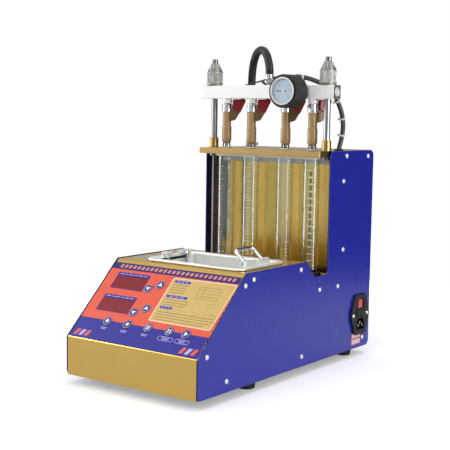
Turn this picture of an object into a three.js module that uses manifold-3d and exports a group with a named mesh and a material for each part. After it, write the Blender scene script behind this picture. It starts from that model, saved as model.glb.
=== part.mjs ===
// Fuel injector cleaner and tester: a bench unit with an ultrasonic basin, a membrane control panel,
// four glass test tubes and a pressure rail clamped over four injectors.
// Millimetres. +X is to the right of someone facing the controls, +Y goes to the back, +Z is up.
// The origin is on the floor, under the middle of the case.
import * as THREE from 'three';
import { mergeVertices } from 'three/addons/utils/BufferGeometryUtils.js';
import Module from 'manifold-3d';

const wasm = await Module();
wasm.setup();

// Case, measured from its lower front edge. Its depth is the slope, the deck, the notch and the tower together.
const caseWidth = 215;
const slopeRun = 96;
const deckRun = 140;
const notchRun = 56;
const towerDepth = 123;
const panelThickness = 2;
const sheetThickness = 1.5;
const lipHeight = 50;
const deckHeight = 142;
const notchSlant = 21;
const wellDepth = 29;
const notchLedge = 6;
const towerHeight = 289;
const backSheetSetback = 34;
const backSheetFlange = 14;
const backSheetReturn = 21;
const panelFrontRadius = 6;
const panelBendRadius = 3;
const notchRadius = 7;
const panelRearRadius = 8;
const panelTowerRadius = 9;
const seam = 0.3;
const overrun = 2;

// Feet
const footHeight = 12;
const footTopRadius = 12.5;
const footBottomRadius = 11;
const footScrewRadius = 5;
const footScrewDepth = 7;
const footSideInset = 21.5;
const footFrontY = 130;
const footRearInset = 38;

// Rear cover louvres
const louvreCount = 7;
const louvreLength = 60;
const louvreHeight = 3.5;
const louvrePitch = 9;
const louvreBottom = 60;

// Top plate, posts and collars
const plateOverhang = 23;
const plateClearance = 1.7;
const plateThickness = 8.4;
const plateDrop = -0.4;
const postInset = 6.5;
const bankSetback = 5;
const postRadius = 4.5;
const postAboveRail = 25;
const postHeadRadius = 6.2;
const postHeadHeight = 4;
const collarRadius = 6.5;
const collarHeight = 14.5;
const runningGap = 0.3;

// Ultrasonic basin and basket
const rimLeftMargin = 40.2;
const rimRightMargin = 10.2;
const rimFrontMargin = 5;
const rimRearMargin = 30;
const rimCorner = 14;
const rimLedge = 8;
const rimThickness = 3.2;
const rimRoll = 1.2;
const basinBelowDeck = 60;
const basinWall = 1.2;
const basketGap = 1.6;
const basketWall = 1.2;
const basketFootHeight = 5;
const basketFootSize = 8;
const basketBead = 2.6;
const basketSlotColumns = 6;
const basketRib = 9;
const basketSlotRows = 2;
const earWidth = 56;
const earRise = 6.5;
const earCorner = 7;
const earHoleWidth = 11;
const earHoleHeight = 6;
const bailWidth = 40;
const bailHeight = 24;
const bailRadius = 2.4;
const bailBend = 8;
const bailPin = 5;
const bailPivotRise = 2.5;
const bailLean = -48;
const bailHang = 180;
const lugLength = 5;
const lugWall = 1.6;

// Ultrasonic transducer, driver, supply, reservoir, pump
const hornTopRadius = 24;
const hornBodyRadius = 17;
const hornHeight = 42;
const hornPlate = 8;
const supplyWide = 88;
const supplyDeep = 92;
const supplyTall = 38;
const supplyWallGap = 9.2;
const supplyY = 68;
const supplyVentCount = 6;
const supplyVentWidth = 3;
const supplyVentPitch = 9;
const supplyVentLength = 60;
const driverWallGap = 13.2;
const driverSupplyGap = 16;
const driverDeep = 86;
const driverThick = 1.6;
const driverY = 66;
const driverRise = 8;
const reservoirLead = 37;
const reservoirRearGap = 65;
const reservoirSideGap = 10.2;
const reservoirWall = 3;
const drainBlockRise = 15.4;
const drainBlockWidth = 34;
const drainRadius = 8;
const pumpSideGap = 31.2;
const pumpRearInset = 32;
const pumpMotorRadius = 17;
const pumpMotorLength = 62;
const pumpHeadSize = 36;
const pumpHeadLength = 26;
const pumpPortRadius = 5;
const pumpPortLength = 14;

// Membrane panel on the slope, measured up the slope from the lip
const filmThickness = 1.2;
const filmBottom = 1.5;
const filmTopMargin = 7;
const windowMargin = 18.7;
const windowButtonGap = 1.96;
const windowHeight = 20.5;
const lowerWindowAlong = 57.5;
const upperWindowAlong = 94.5;
const windowRecess = 0.4;
const buttonRadius = 6.5;
const buttonGap = 0.25;
const buttonHeight = 1.1;
const buttonProud = 0.5;
const buttonShares = {
  button_upper_down: [-0.119, 0.714],
  button_upper_up: [-0.043, 0.778],
  button_lower_down: [-0.119, 0.405],
  button_lower_up: [-0.043, 0.476],
  button_drain: [-0.27, 0.254],
  button_light: [-0.109, 0.254],
  button_mode: [0.052, 0.258],
  button_pause: [0.214, 0.258],
  button_start: [0.337, 0.258],
};
const boardLeftMargin = 12.2;
const boardRightMargin = 48.2;
const boardDeep = 92;
const boardThick = 1.6;
const boardAlong = 66;
const boardDrop = 12;
const standoffRadius = 3;
const standoffInset = 6;

// Power inlet on the right-hand panel
const inletRearInset = 31.5;
const inletZ = 50;
const inletWidth = 29;
const inletHeight = 59;
const inletEarMargin = 5.5;
const inletEarHalf = 5;
const inletFlange = 3;
const inletCorner = 3;
const inletBodyWidth = 27;
const inletBayMargin = 1.5;
const inletBodyDepth = 30;
const inletScrewSpacing = 40;
const inletScrewRadius = 1.7;
const socketWidth = 22;
const socketHeight = 17;
const socketDepth = 17;
const socketZ = -14;
const socketChamfer = 5;
const pinWidth = 4;
const pinThickness = 2;
const pinLength = 12;
const pinSpacing = 7;
const drawerWidth = 23;
const drawerHeight = 11;
const drawerDepth = 22;
const drawerZ = 1.5;
const drawerProud = 1.2;
const drawerNotch = 5;
const rockerWidth = 18.5;
const rockerHeight = 12.5;
const rockerDepth = 12;
const rockerZ = 16;
const rockerTilt = 9;
const rockerPocket = 16;
const rockerTrim = 0.6;
const rockerCorner = 1;
const rockerTailShare = 0.7;

// Test tubes and injectors. Their places are shares of the distance from the middle to a post.
const tubeShares = [-0.763, -0.304, 0.304, 0.763];
const tubeRadius = 12;
const tubeWall = 2;
const gasketThickness = 6;
const gasketWidth = 32;
const gasketEnd = 16;
const gasketSeat = 3;
const upperGasketThickness = 3;
const upperGasketWidth = 28;
const nozzleHole = 4.2;
const seatRadius = 8;
const seatHeight = 1.6;
const prongHeight = 6;
const prongCount = 4;
const prongTopRadius = 4.9;
const prongFootRadius = 6.9;
const prongThickness = 1.7;
const nozzleRadius = 1.9;
const nozzleReach = 5;
const injectorTaper = 2;
const injectorWideRadius = 7;
const injectorWideTop = 31.5;
const injectorShoulder = 1.5;
const injectorNarrowRadius = 6.2;
const injectorNarrowTop = 52.5;
const injectorCollarRadius = 7.1;
const injectorCollarTop = 64;
const injectorSpigotRadius = 5.2;
const injectorSpigotTop = 68.5;
const injectorGroove = 0.5;
const armTurn = 36;
const lastArmTurn = 66;
const armReach = 18.9;
const armBase = 38;
const armRise = 18.6;
const armWidth = 11.5;
const armShares = [[0.1, 0], [0.42, 0.07], [0.65, 0.14], [0.74, 0.26], [1, 0.72], [0.37, 1], [0.1, 0.65]];
const plugReach = 28;
const plugBase = 51.6;
const plugRise = 19;
const plugWidth = 13;
const plugShares = [[0.29, 0.31], [0.71, 0.005], [0.985, 0.87], [0.95, 1], [0.33, 1], [0.29, 0.95]];
const branchRadius = 2;
const trunkRadius = 3.3;
const farTrunkRadius = 1.2;
const grommetInset = 0.5;
const grommetSetback = 35.6;

// Rail
const railRise = 71.6;
const railOverhang = 15;
const railSize = 19;
const cupRadius = 7.3;
const cupHeight = 6.8;
const cupWall = 1.6;
const railPlugRadius = 6;
const railPlugDepth = 2;

// Clamps on the posts
const clampRadius = 11.8;
const clampBase = 2;
const sleeveHeight = 17.5;
const sleeveWall = 2.6;
const sleeveRibs = 16;
const sleeveRibDepth = 0.5;
const coneHeight = 12;
const coneTopRadius = 7.6;
const coneFlutes = 6;
const coneFluteRadius = 3.2;
const coneFluteLength = 16.8;
const jawRadius = 4.2;
const jawHeight = 6;
const jawSlot = 1.3;
const clampHead = 2.5;

// Pressure gauge
const gaugeX = 51;
const gaugeReach = 33;
const bootRadius = 23;
const bootRearRadius = 20;
const bootWall = 1.6;
const bootRearWall = 2.4;
const bootLip = 1.2;
const bootRibs = 12;
const bootRibDepth = 0.9;
const bootRibWidthShare = 0.5;
const bootLipDepth = 2;
const bezelRadius = 19.1;
const bezelWidth = 1.5;
const bezelReach = 2.6;
const dialDepth = 5;
const stemRadius = 5;
const lensThickness = 1;
const lensSetback = 1.2;
const needleLength = 13;
const needleTail = 5;
const needleWidth = 1.6;
const needleThickness = 0.6;
const hubRadius = 2.4;
const hubHeight = 1.4;

// Fuel hose and its fittings
const hoseRadius = 5.7;
const hoseFootX = -51;
const hoseFootSetback = 29;
const elbowRadius = 4.9;
const elbowHeight = 5;
const neckRadius = 3.4;
const neckHeight = 3.6;
const ferruleRadius = 6.3;
const ferruleHeight = 6.4;
const ferruleGroove = 0.5;
const outletFlange = 7.5;
const outletFlangeHeight = 2.5;
const outletClampRadius = 6.8;
const outletClampHeight = 7;
const outletScrewLength = 6;
const outletScrewRadius = 2;

// Routes of the hose and of the harness, from the plate's top above the middle of the bank. The harness was laid
// for posts this far from the middle. A branch leads from its plug and meets one point of the trunk.
const hosePoints = [
  [-51, 29, 30.6],
  [-51, 29, 55.6],
  [-51, 29, 78.6],
  [-50.5, 28.7, 98.6],
  [-49, 28, 113.6],
  [-45, 25.7, 126.6],
  [-37.5, 21.5, 137.1],
  [-27, 15.4, 141.6],
  [-16, 9, 139.6],
  [-7.5, 4.2, 132.1],
  [-2, 1.2, 120.6],
  [0, 0, 112.6],
];
const trunkPostX = 97;
const trunkPoints = [
  [96.5, 35.6, 2.6],
  [98, 38.5, 15.6],
  [100, 39, 32.6],
  [100, 35, 50.6],
  [98, 27.5, 66.6],
  [94, 21, 79.6],
  [86, 17.2, 89.6],
  [74, 15.7, 94.6],
  [55, 15.7, 100.6],
  [35, 15.7, 103.6],
  [15, 15.7, 104.1],
  [-5, 15.7, 102.1],
  [-24, 15.7, 97.6],
  [-42, 15.7, 93.6],
  [-55, 15.7, 90.6],
];
const branchRoutes = [
  { lead: [[18.5, 13.6, 76.6], [18.5, 14.5, 84.6]], meets: 14 },
  { lead: [[18.5, 13.6, 76.6], [16.5, 14.5, 88.6]], meets: 12 },
  { lead: [[18.5, 13.6, 76.6], [17, 14.5, 89.6]], meets: 9 },
  { lead: [[9.4, 21, 76.6], [10.5, 19.5, 82.6]], meets: 6 },
];
const trunkThins = 9;

// Facet counts
const roundSides = 20;
const smallSides = 12;
const cordSides = 8;
const wireSides = 6;
const boltSides = 8;
const footSides = 16;
const cornerSteps = 2;
const hoseSteps = 25;
const trunkSteps = 18;
const farTrunkSteps = 9;
const branchSteps = 6;
const bailSteps = 26;

// Places that follow from the sizes above
const notchFrontY = slopeRun + deckRun;
const towerFrontY = notchFrontY + notchRun;
const caseDepth = towerFrontY + towerDepth;
const backSheetY = towerFrontY + backSheetSetback;
const bankY = towerFrontY + bankSetback;
const wellFloor = deckHeight - wellDepth;
const notchFloor = wellFloor + notchLedge;
const innerWidth = caseWidth - 2 * (panelThickness + seam);
const plateWidth = innerWidth - 2 * plateClearance;
const plateTop = towerHeight - plateDrop;
const plateBottom = plateTop - plateThickness;
const postX = plateWidth / 2 - postInset;
const tubePlaces = tubeShares.map((share) => share * postX);
const railBottom = plateTop + railRise;
const railTop = railBottom + railSize;
const railLength = 2 * (postX + railOverhang);
const postTop = railTop + postAboveRail;
const grommetX = postX - grommetInset;
const grommetY = bankY + grommetSetback;
const hoseFootY = bankY + hoseFootSetback;
const windowCentres = [lowerWindowAlong, upperWindowAlong];
const slopeAngle = Math.atan2(deckHeight - lipHeight, slopeRun);
const filmTop = Math.hypot(slopeRun, deckHeight - lipHeight) - filmTopMargin;
const rimWidth = innerWidth - rimLeftMargin - rimRightMargin;
const rimDepth = deckRun - rimFrontMargin - rimRearMargin;
const basinX = (rimLeftMargin - rimRightMargin) / 2;
const basinY = slopeRun + rimFrontMargin + rimDepth / 2;
const basinBodyWidth = rimWidth - 2 * rimLedge;
const basinBodyDepth = rimDepth - 2 * rimLedge;
const basinBodyCorner = rimCorner - rimLedge / 2;
const rimTop = deckHeight + seam + rimThickness;
const basinBottom = deckHeight - basinBelowDeck;
const basinFloor = basinBottom + basinWall;
const basketWidth = basinBodyWidth - 2 * (basinWall + basketGap);
const basketDepth = basinBodyDepth - 2 * (basinWall + basketGap);
const basketCorner = basinBodyCorner - basinWall - basketGap;

// Two corners closer than this are one
const weldGap = 1e-4;

const asSolid = (geometry) => {
  const bare = geometry.clone();
  bare.deleteAttribute('normal');
  bare.deleteAttribute('uv');
  const merged = mergeVertices(bare, weldGap);
  const index = merged.index.array;
  const kept = [];
  for (let i = 0; i < index.length; i += 3) {
    const [a, b, c] = [index[i], index[i + 1], index[i + 2]];
    if (a !== b && b !== c && c !== a) kept.push(a, b, c);
  }
  return new wasm.Manifold(new wasm.Mesh({
    numProp: 3,
    vertProperties: new Float32Array(merged.attributes.position.array),
    triVerts: new Uint32Array(kept),
  }));
};

const asGeometry = (solid) => {
  const mesh = solid.getMesh();
  const geometry = new THREE.BufferGeometry();
  geometry.setAttribute('position', new THREE.BufferAttribute(new Float32Array(mesh.vertProperties), 3));
  geometry.setIndex(new THREE.BufferAttribute(new Uint32Array(mesh.triVerts), 1));
  geometry.computeVertexNormals();
  return geometry;
};

const join = (first, ...others) => others.reduce((sum, other) => sum.add(asSolid(other)), asSolid(first));
const cut = (solid, ...tools) => tools.reduce((rest, tool) => rest.subtract(asSolid(tool)), solid);

// Outlines. A corner is [across, up, radius]; radius may be left out.
const outline = (corners, steps = cornerSteps) => {
  const points = [];
  corners.forEach(([x, y, radius = 0], i) => {
    const here = new THREE.Vector2(x, y);
    if (radius <= 0) {
      points.push(here);
      return;
    }
    const [bx, by] = corners[(i + corners.length - 1) % corners.length];
    const [ax, ay] = corners[(i + 1) % corners.length];
    const back = new THREE.Vector2(bx, by).sub(here).normalize();
    const on = new THREE.Vector2(ax, ay).sub(here).normalize();
    const half = Math.acos(THREE.MathUtils.clamp(back.dot(on), -1, 1)) / 2;
    const centre = here.clone().addScaledVector(back.clone().add(on).normalize(), radius / Math.sin(half));
    const start = here.clone().addScaledVector(back, radius / Math.tan(half)).sub(centre);
    const end = here.clone().addScaledVector(on, radius / Math.tan(half)).sub(centre);
    const turn = Math.atan2(start.cross(end), start.dot(end));
    for (let k = 0; k <= steps; k++) {
      points.push(start.clone().rotateAround(new THREE.Vector2(), (turn * k) / steps).add(centre));
    }
  });
  return new THREE.Shape(points);
};

const rectangle = (width, height, radius = 0, steps = cornerSteps) => outline([
  [-width / 2, -height / 2, radius],
  [width / 2, -height / 2, radius],
  [width / 2, height / 2, radius],
  [-width / 2, height / 2, radius],
], steps);

const polygon = (radius, sides = smallSides) => {
  const turn = (2 * Math.PI) / sides;
  const points = Array.from({ length: sides }, (_, i) => new THREE.Vector2(
    radius * Math.cos(i * turn),
    radius * Math.sin(i * turn),
  ));
  return new THREE.Shape(points);
};

// Bodies swept straight. Upwards stands on z = 0; across is centred on x = 0; through is centred on y = 0.
const upwards = (shape, height) => new THREE.ExtrudeGeometry(shape, { depth: height, bevelEnabled: false });

const across = (shape, width) => upwards(shape, width).translate(0, 0, -width / 2).applyMatrix4(
  new THREE.Matrix4().makeBasis(
    new THREE.Vector3(0, 1, 0), new THREE.Vector3(0, 0, 1), new THREE.Vector3(1, 0, 0),
  ),
);

const through = (shape, depth) => upwards(shape, depth).translate(0, 0, -depth / 2).applyMatrix4(
  new THREE.Matrix4().makeBasis(
    new THREE.Vector3(1, 0, 0), new THREE.Vector3(0, 0, 1), new THREE.Vector3(0, -1, 0),
  ),
);

const block = (x, y, z) => new THREE.BoxGeometry(x, y, z).translate(0, 0, z / 2);
const rod = (radius, height, sides = smallSides) => upwards(polygon(radius, sides), height);

// A turned piece: [radius, height] pairs, from the axis round to the axis, or closed on itself for a ring.
const turned = (profile, sides = roundSides) => {
  const points = profile.map(([radius, height]) => new THREE.Vector2(radius, height));
  return new THREE.LatheGeometry(points, sides).rotateX(Math.PI / 2);
};

const ring = (outer, inner, height, sides = roundSides) => {
  const shape = polygon(outer, sides);
  shape.holes.push(polygon(inner, sides));
  return upwards(shape, height);
};

// A round cord through points of its route
const cord = (points, radius, sides, steps) => new THREE.ExtrudeGeometry(polygon(radius, sides), {
  steps,
  bevelEnabled: false,
  extrudePath: new THREE.CatmullRomCurve3(points.map((point) => new THREE.Vector3(...point))),
});

// A rod bent at its corners. A corner is [x, y, z, bend]; the ends have no bend.
const bentRod = (corners, radius, sides, steps) => {
  const path = new THREE.CurvePath();
  const at = corners.map(([x, y, z]) => new THREE.Vector3(x, y, z));
  let from = at[0];
  for (let i = 1; i < at.length - 1; i++) {
    const bend = corners[i][3];
    const into = at[i].clone().add(at[i - 1].clone().sub(at[i]).setLength(bend));
    const out = at[i].clone().add(at[i + 1].clone().sub(at[i]).setLength(bend));
    path.add(new THREE.LineCurve3(from, into));
    path.add(new THREE.QuadraticBezierCurve3(into, at[i], out));
    from = out;
  }
  path.add(new THREE.LineCurve3(from, at[at.length - 1]));
  return new THREE.ExtrudeGeometry(polygon(radius, sides), { steps, bevelEnabled: false, extrudePath: path });
};

// A folded sheet: the line is its visible face, and the metal lies to the right of the line.
const folded = (line, thickness) => {
  const face = line.map(([y, z]) => new THREE.Vector2(y, z));
  const back = face.map((point, i) => {
    const runs = [];
    if (i > 0) runs.push(point.clone().sub(face[i - 1]).normalize());
    if (i < face.length - 1) runs.push(face[i + 1].clone().sub(point).normalize());
    const normals = runs.map((run) => new THREE.Vector2(run.y, -run.x));
    const mean = normals.reduce((sum, normal) => sum.add(normal), new THREE.Vector2()).normalize();
    return point.clone().addScaledVector(mean, thickness / mean.dot(normals[0]));
  });
  return new THREE.Shape([...face, ...back.reverse()]);
};

const paint = {
  blue: { color: 0x2a3192, roughness: 0.4, metalness: 0.1 },
  gold: { color: 0xb89b56, roughness: 0.3, metalness: 0.85 },
  steel: { color: 0xc9cbcd, roughness: 0.22, metalness: 1 },
  satin: { color: 0xa9aaa6, roughness: 0.4, metalness: 1 },
  aluminium: { color: 0xe4e6e7, roughness: 0.38, metalness: 0.9 },
  brass: { color: 0xc9a24e, roughness: 0.25, metalness: 1 },
  rubber: { color: 0x161616, roughness: 0.85, metalness: 0 },
  black: { color: 0x1b1c1e, roughness: 0.5, metalness: 0 },
  tan: { color: 0xa98a5c, roughness: 0.5, metalness: 0 },
  red: { color: 0x9a1f22, roughness: 0.45, metalness: 0 },
  film: { color: 0xe0644f, roughness: 0.35, metalness: 0 },
  navy: { color: 0x2c2f8f, roughness: 0.4, metalness: 0 },
  glass: { color: 0xdde8e6, roughness: 0.05, metalness: 0, transparent: true, opacity: 0.35 },
  white: { color: 0xf2f3f2, roughness: 0.5, metalness: 0 },
  green: { color: 0x1f5b38, roughness: 0.6, metalness: 0 },
  zinc: { color: 0x9ea2a5, roughness: 0.5, metalness: 0.8 },
  plastic: { color: 0xd8dad6, roughness: 0.6, metalness: 0 },
};

const part = new THREE.Group();
const machine = new THREE.Group();
machine.position.set(0, -caseDepth / 2, footHeight);
part.add(machine);

const put = (name, geometry, finish, parent = machine, place = [0, 0, 0]) => {
  const shape = geometry.isBufferGeometry ? asGeometry(asSolid(geometry)) : asGeometry(geometry);
  const mesh = new THREE.Mesh(shape, new THREE.MeshStandardMaterial(paint[finish]));
  mesh.name = name;
  mesh.position.set(...place);
  parent.add(mesh);
  return mesh;
};

const groupAt = (x, y, z, parent = machine) => {
  const group = new THREE.Group();
  group.position.set(x, y, z);
  parent.add(group);
  return group;
};

// Side panels: one outline with the notch that shows the feet of the tubes
const sidePanel = () => across(outline([
  [0, 0, panelFrontRadius],
  [caseDepth, 0, panelRearRadius],
  [caseDepth, towerHeight, panelRearRadius],
  [towerFrontY, towerHeight, panelTowerRadius],
  [towerFrontY, notchFloor, notchRadius],
  [notchFrontY + notchSlant, notchFloor, notchRadius],
  [notchFrontY, deckHeight, panelBendRadius],
  [slopeRun, deckHeight, panelBendRadius],
  [0, lipHeight, panelBendRadius],
]), panelThickness);

const panelX = (caseWidth - panelThickness) / 2;
const inletBodyHeight = socketHeight - 2 * socketZ + 2 * inletBayMargin;
const inletY = caseDepth - inletRearInset;
const inletEarSpan = inletScrewSpacing + 2 * inletEarMargin;
put('side_panel_left', sidePanel(), 'blue', machine, [-panelX, 0, 0]);
put('side_panel_right', cut(
  asSolid(sidePanel()),
  across(rectangle(inletBodyWidth + 2 * runningGap, inletBodyHeight + 2 * runningGap), caseWidth)
    .translate(0, inletY, inletZ),
), 'blue', machine, [panelX, 0, 0]);

// Front cover: lip, slope, deck, well and the bright sheet behind the tubes, folded from one strip,
// with a return along each side of that sheet
const frontCover = () => {
  const strip = across(folded([
    [0, 0],
    [0, lipHeight],
    [slopeRun, deckHeight],
    [notchFrontY, deckHeight],
    [notchFrontY + wellDepth, wellFloor],
    [backSheetY, wellFloor],
    [backSheetY, plateBottom - seam],
    [backSheetY + backSheetFlange, plateBottom - seam],
  ], sheetThickness), innerWidth);
  const basinHole = upwards(
    rectangle(basinBodyWidth + 2 * seam, basinBodyDepth + 2 * seam, basinBodyCorner),
    sheetThickness + 2 * overrun,
  ).translate(basinX, basinY, deckHeight - sheetThickness - overrun);
  const drains = tubePlaces.map((x) => rod(drainRadius, sheetThickness + 2 * overrun)
    .translate(x, bankY, wellFloor - sheetThickness - overrun));
  const returns = [-1, 1].map((side) => block(
    sheetThickness, backSheetReturn + sheetThickness / 2, plateBottom - seam - wellFloor + sheetThickness / 2,
  ).translate(
    (side * (innerWidth - sheetThickness)) / 2,
    backSheetY + sheetThickness / 4 - backSheetReturn / 2,
    wellFloor - sheetThickness / 2,
  ));
  return cut(join(strip, ...returns), basinHole, ...drains);
};
put('front_cover', frontCover(), 'gold');

// Rear cover with louvres, and the base plate
const rearHeight = towerHeight - plateDrop;
const rearCover = () => {
  const sheet = through(rectangle(innerWidth, rearHeight), sheetThickness)
    .translate(0, caseDepth - sheetThickness / 2, rearHeight / 2);
  const slots = Array.from({ length: louvreCount }, (_, i) => through(
    rectangle(louvreLength, louvreHeight), sheetThickness + 2 * overrun,
  ).translate(0, caseDepth - sheetThickness / 2, louvreBottom + i * louvrePitch));
  return cut(asSolid(sheet), ...slots);
};
put('rear_cover', rearCover(), 'blue');

const basePlateDepth = caseDepth - 2 * (sheetThickness + seam);
put('base_plate', block(innerWidth, basePlateDepth, sheetThickness)
  .translate(0, caseDepth / 2, 0), 'zinc');

// Feet: rubber, with a screw recess underneath
const foot = () => turned([
  [0, footScrewDepth],
  [footScrewRadius, footScrewDepth],
  [footScrewRadius, 0],
  [footBottomRadius, 0],
  [footTopRadius, footHeight - seam],
  [0, footHeight - seam],
], footSides);
const footX = caseWidth / 2 - footSideInset;
const footRearY = caseDepth - footRearInset;
[[-footX, footFrontY], [footX, footFrontY], [-footX, footRearY], [footX, footRearY]].forEach(([x, y], i) => {
  put(`foot_${i + 1}`, foot(), 'rubber', machine, [x, y, -footHeight]);
});

// Top plate with bores for posts, injectors, hose and wiring
const topPlate = () => {
  const rear = caseDepth - sheetThickness - seam;
  const front = towerFrontY - plateOverhang;
  const plate = block(plateWidth, rear - front, plateThickness).translate(0, (rear + front) / 2, plateBottom);
  const bore = (x, y, radius) => rod(radius, plateThickness + 2 * overrun, smallSides)
    .translate(x, y, plateBottom - overrun);
  return cut(
    asSolid(plate),
    ...[-postX, postX].map((x) => bore(x, bankY, postRadius + runningGap)),
    ...tubePlaces.map((x) => bore(x, bankY, nozzleHole)),
    bore(hoseFootX, hoseFootY, hoseRadius),
    bore(grommetX, grommetY, trunkRadius + runningGap),
  );
};
put('top_plate', topPlate(), 'gold');

// Posts, each with a head under the plate, and the brass collars that stand on it
const postBottom = plateBottom - seam - postHeadHeight;
const post = () => join(
  rod(postHeadRadius, postHeadHeight, smallSides),
  rod(postRadius, postTop - postBottom),
);
[['left', -postX], ['right', postX]].forEach(([side, x]) => {
  put(`post_${side}`, post(), 'steel', machine, [x, bankY, postBottom]);
  put(`post_collar_${side}`, ring(collarRadius, postRadius + runningGap, collarHeight - seam, smallSides),
    'brass', machine, [x, bankY, plateTop + seam]);
});

// Ultrasonic basin: pressed pan with a rolled rim that lies on the deck
const basin = () => {
  const pan = upwards(rectangle(basinBodyWidth, basinBodyDepth, basinBodyCorner), rimTop - basinBottom - rimRoll)
    .translate(0, 0, basinBottom);
  const rim = new THREE.ExtrudeGeometry(
    rectangle(rimWidth - 2 * rimRoll, rimDepth - 2 * rimRoll, rimCorner - rimRoll),
    {
      depth: rimThickness - 2 * rimRoll,
      bevelThickness: rimRoll,
      bevelSize: rimRoll,
      bevelSegments: 2,
    },
  ).translate(0, 0, deckHeight + seam + rimRoll);
  const pocket = upwards(
    rectangle(basinBodyWidth - 2 * basinWall, basinBodyDepth - 2 * basinWall, basinBodyCorner - basinWall),
    rimTop - basinFloor + overrun,
  ).translate(0, 0, basinFloor);
  return cut(join(pan, rim), pocket);
};
put('tank_basin', basin(), 'steel', machine, [basinX, basinY, 0]);

// Basket: slotted tray on feet, with an ear at each end that carries a bail
const basketBottom = basinFloor + seam + basketFootHeight;
const basketTop = rimTop - rimRoll;
const earTop = rimTop + earRise;
const earX = (basketWidth - basketWall) / 2;
const pivotZ = rimTop + bailPivotRise;
const pivotInset = basketWall / 2 + bailRadius + lugWall;
const lugY = bailWidth / 2 + bailRadius + runningGap + lugLength / 2;
const basket = () => {
  const tray = upwards(rectangle(basketWidth, basketDepth, basketCorner), basketTop - basketBottom);
  const bead = upwards(
    rectangle(basketWidth + basketGap, basketDepth + basketGap, basketCorner + basketGap / 2), basketBead,
  ).translate(0, 0, basketTop - basketBottom - basketBead);
  const feet = [-1, 1].flatMap((sx) => [-1, 1].map((sy) => block(
    basketFootSize, basketFootSize, basketFootHeight + basketWall,
  ).translate(
    sx * (basketWidth / 2 - basketCorner - basketFootSize),
    sy * (basketDepth / 2 - basketCorner - basketFootSize),
    -basketFootHeight,
  )));
  const inside = upwards(
    rectangle(basketWidth - 2 * basketWall, basketDepth - 2 * basketWall, basketCorner - basketWall),
    basketTop - basketBottom,
  ).translate(0, 0, basketWall);
  const slotPitch = (basketWidth - 2 * basketCorner) / basketSlotColumns;
  const slotLength = (basketDepth - 2 * basketCorner) / basketSlotRows - basketRib / 2;
  const slots = [];
  for (let column = 0; column < basketSlotColumns; column++) {
    for (let row = 0; row < basketSlotRows; row++) {
      slots.push(block(slotPitch - basketRib, slotLength, basketWall + 2 * overrun).translate(
        (column - (basketSlotColumns - 1) / 2) * slotPitch,
        (row - (basketSlotRows - 1) / 2) * (slotLength + basketRib / 2),
        -overrun,
      ));
    }
  }
  const ears = [-1, 1].map((side) => {
    const top = earTop - basketBottom;
    const low = basketTop - basketBottom - 2 * basketBead;
    return across(outline([
      [-earWidth / 2, low],
      [earWidth / 2, low],
      [earWidth / 2, top, earCorner],
      [-earWidth / 2, top, earCorner],
    ]), basketWall).translate(side * earX, 0, 0);
  });
  const lugs = [-1, 1].flatMap((side) => [-1, 1].map((sy) => across(
    rectangle(lugLength, 2 * (bailRadius + lugWall)), pivotInset + bailRadius + lugWall,
  ).translate(
    side * (earX - (pivotInset + bailRadius + lugWall) / 2),
    sy * lugY,
    pivotZ - basketBottom,
  )));
  const lugBores = [-1, 1].flatMap((side) => [-1, 1].map((sy) => through(
    polygon(bailRadius + runningGap, boltSides), lugLength + 2 * seam,
  ).translate(side * (earX - pivotInset), sy * lugY, pivotZ - basketBottom)));
  const earHole = across(
    rectangle(earHoleWidth, earHoleHeight, earHoleHeight / 2 - seam), basketWidth + 2 * overrun,
  ).translate(0, 0, pivotZ - basketBottom);
  const hollow = cut(join(tray, bead), inside, ...slots);
  const withEars = [...feet, ...ears, ...lugs].reduce((sum, piece) => sum.add(asSolid(piece)), hollow);
  return cut(withEars, ...lugBores, earHole);
};
put('tank_basket', basket(), 'steel', machine, [basinX, basinY, basketBottom]);

// Bails: the right one leans in over the basket, the left one hangs inside it
const bail = () => {
  const half = bailWidth / 2;
  const end = half + bailRadius + bailPin;
  return bentRod([
    [0, -end, 0],
    [0, -half, 0, bailRadius],
    [0, -half, bailHeight, bailBend],
    [0, half, bailHeight, bailBend],
    [0, half, 0, bailRadius],
    [0, end, 0],
  ], bailRadius, wireSides, bailSteps);
};
[['right', 1, bailLean], ['left', -1, bailHang]].forEach(([side, sign, degrees]) => {
  const pivot = groupAt(basinX + sign * (earX - pivotInset), basinY, pivotZ);
  pivot.rotation.y = THREE.MathUtils.degToRad(degrees);
  put(`basket_bail_${side}`, bail(), 'steel', pivot);
});

// Under the basin: the transducer horn
put('transducer', turned([
  [0, 0],
  [hornBodyRadius, 0],
  [hornBodyRadius, hornHeight - 2 * hornPlate],
  [hornTopRadius, hornHeight - hornPlate],
  [hornTopRadius, hornHeight],
  [0, hornHeight],
], smallSides), 'satin', machine, [basinX, basinY, basinBottom - seam - hornHeight]);

// Power supply: vented box on the base
const supply = () => {
  const slots = Array.from({ length: supplyVentCount }, (_, i) => block(
    supplyVentLength, supplyVentWidth, 2 * overrun,
  ).translate(0, (i - (supplyVentCount - 1) / 2) * supplyVentPitch, supplyTall - overrun));
  return cut(asSolid(block(supplyWide, supplyDeep, supplyTall)), ...slots);
};
const supplyX = supplyWallGap + (supplyWide - innerWidth) / 2;
put('power_supply', supply(), 'zinc', machine, [supplyX, supplyY, sheetThickness + seam]);

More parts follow.
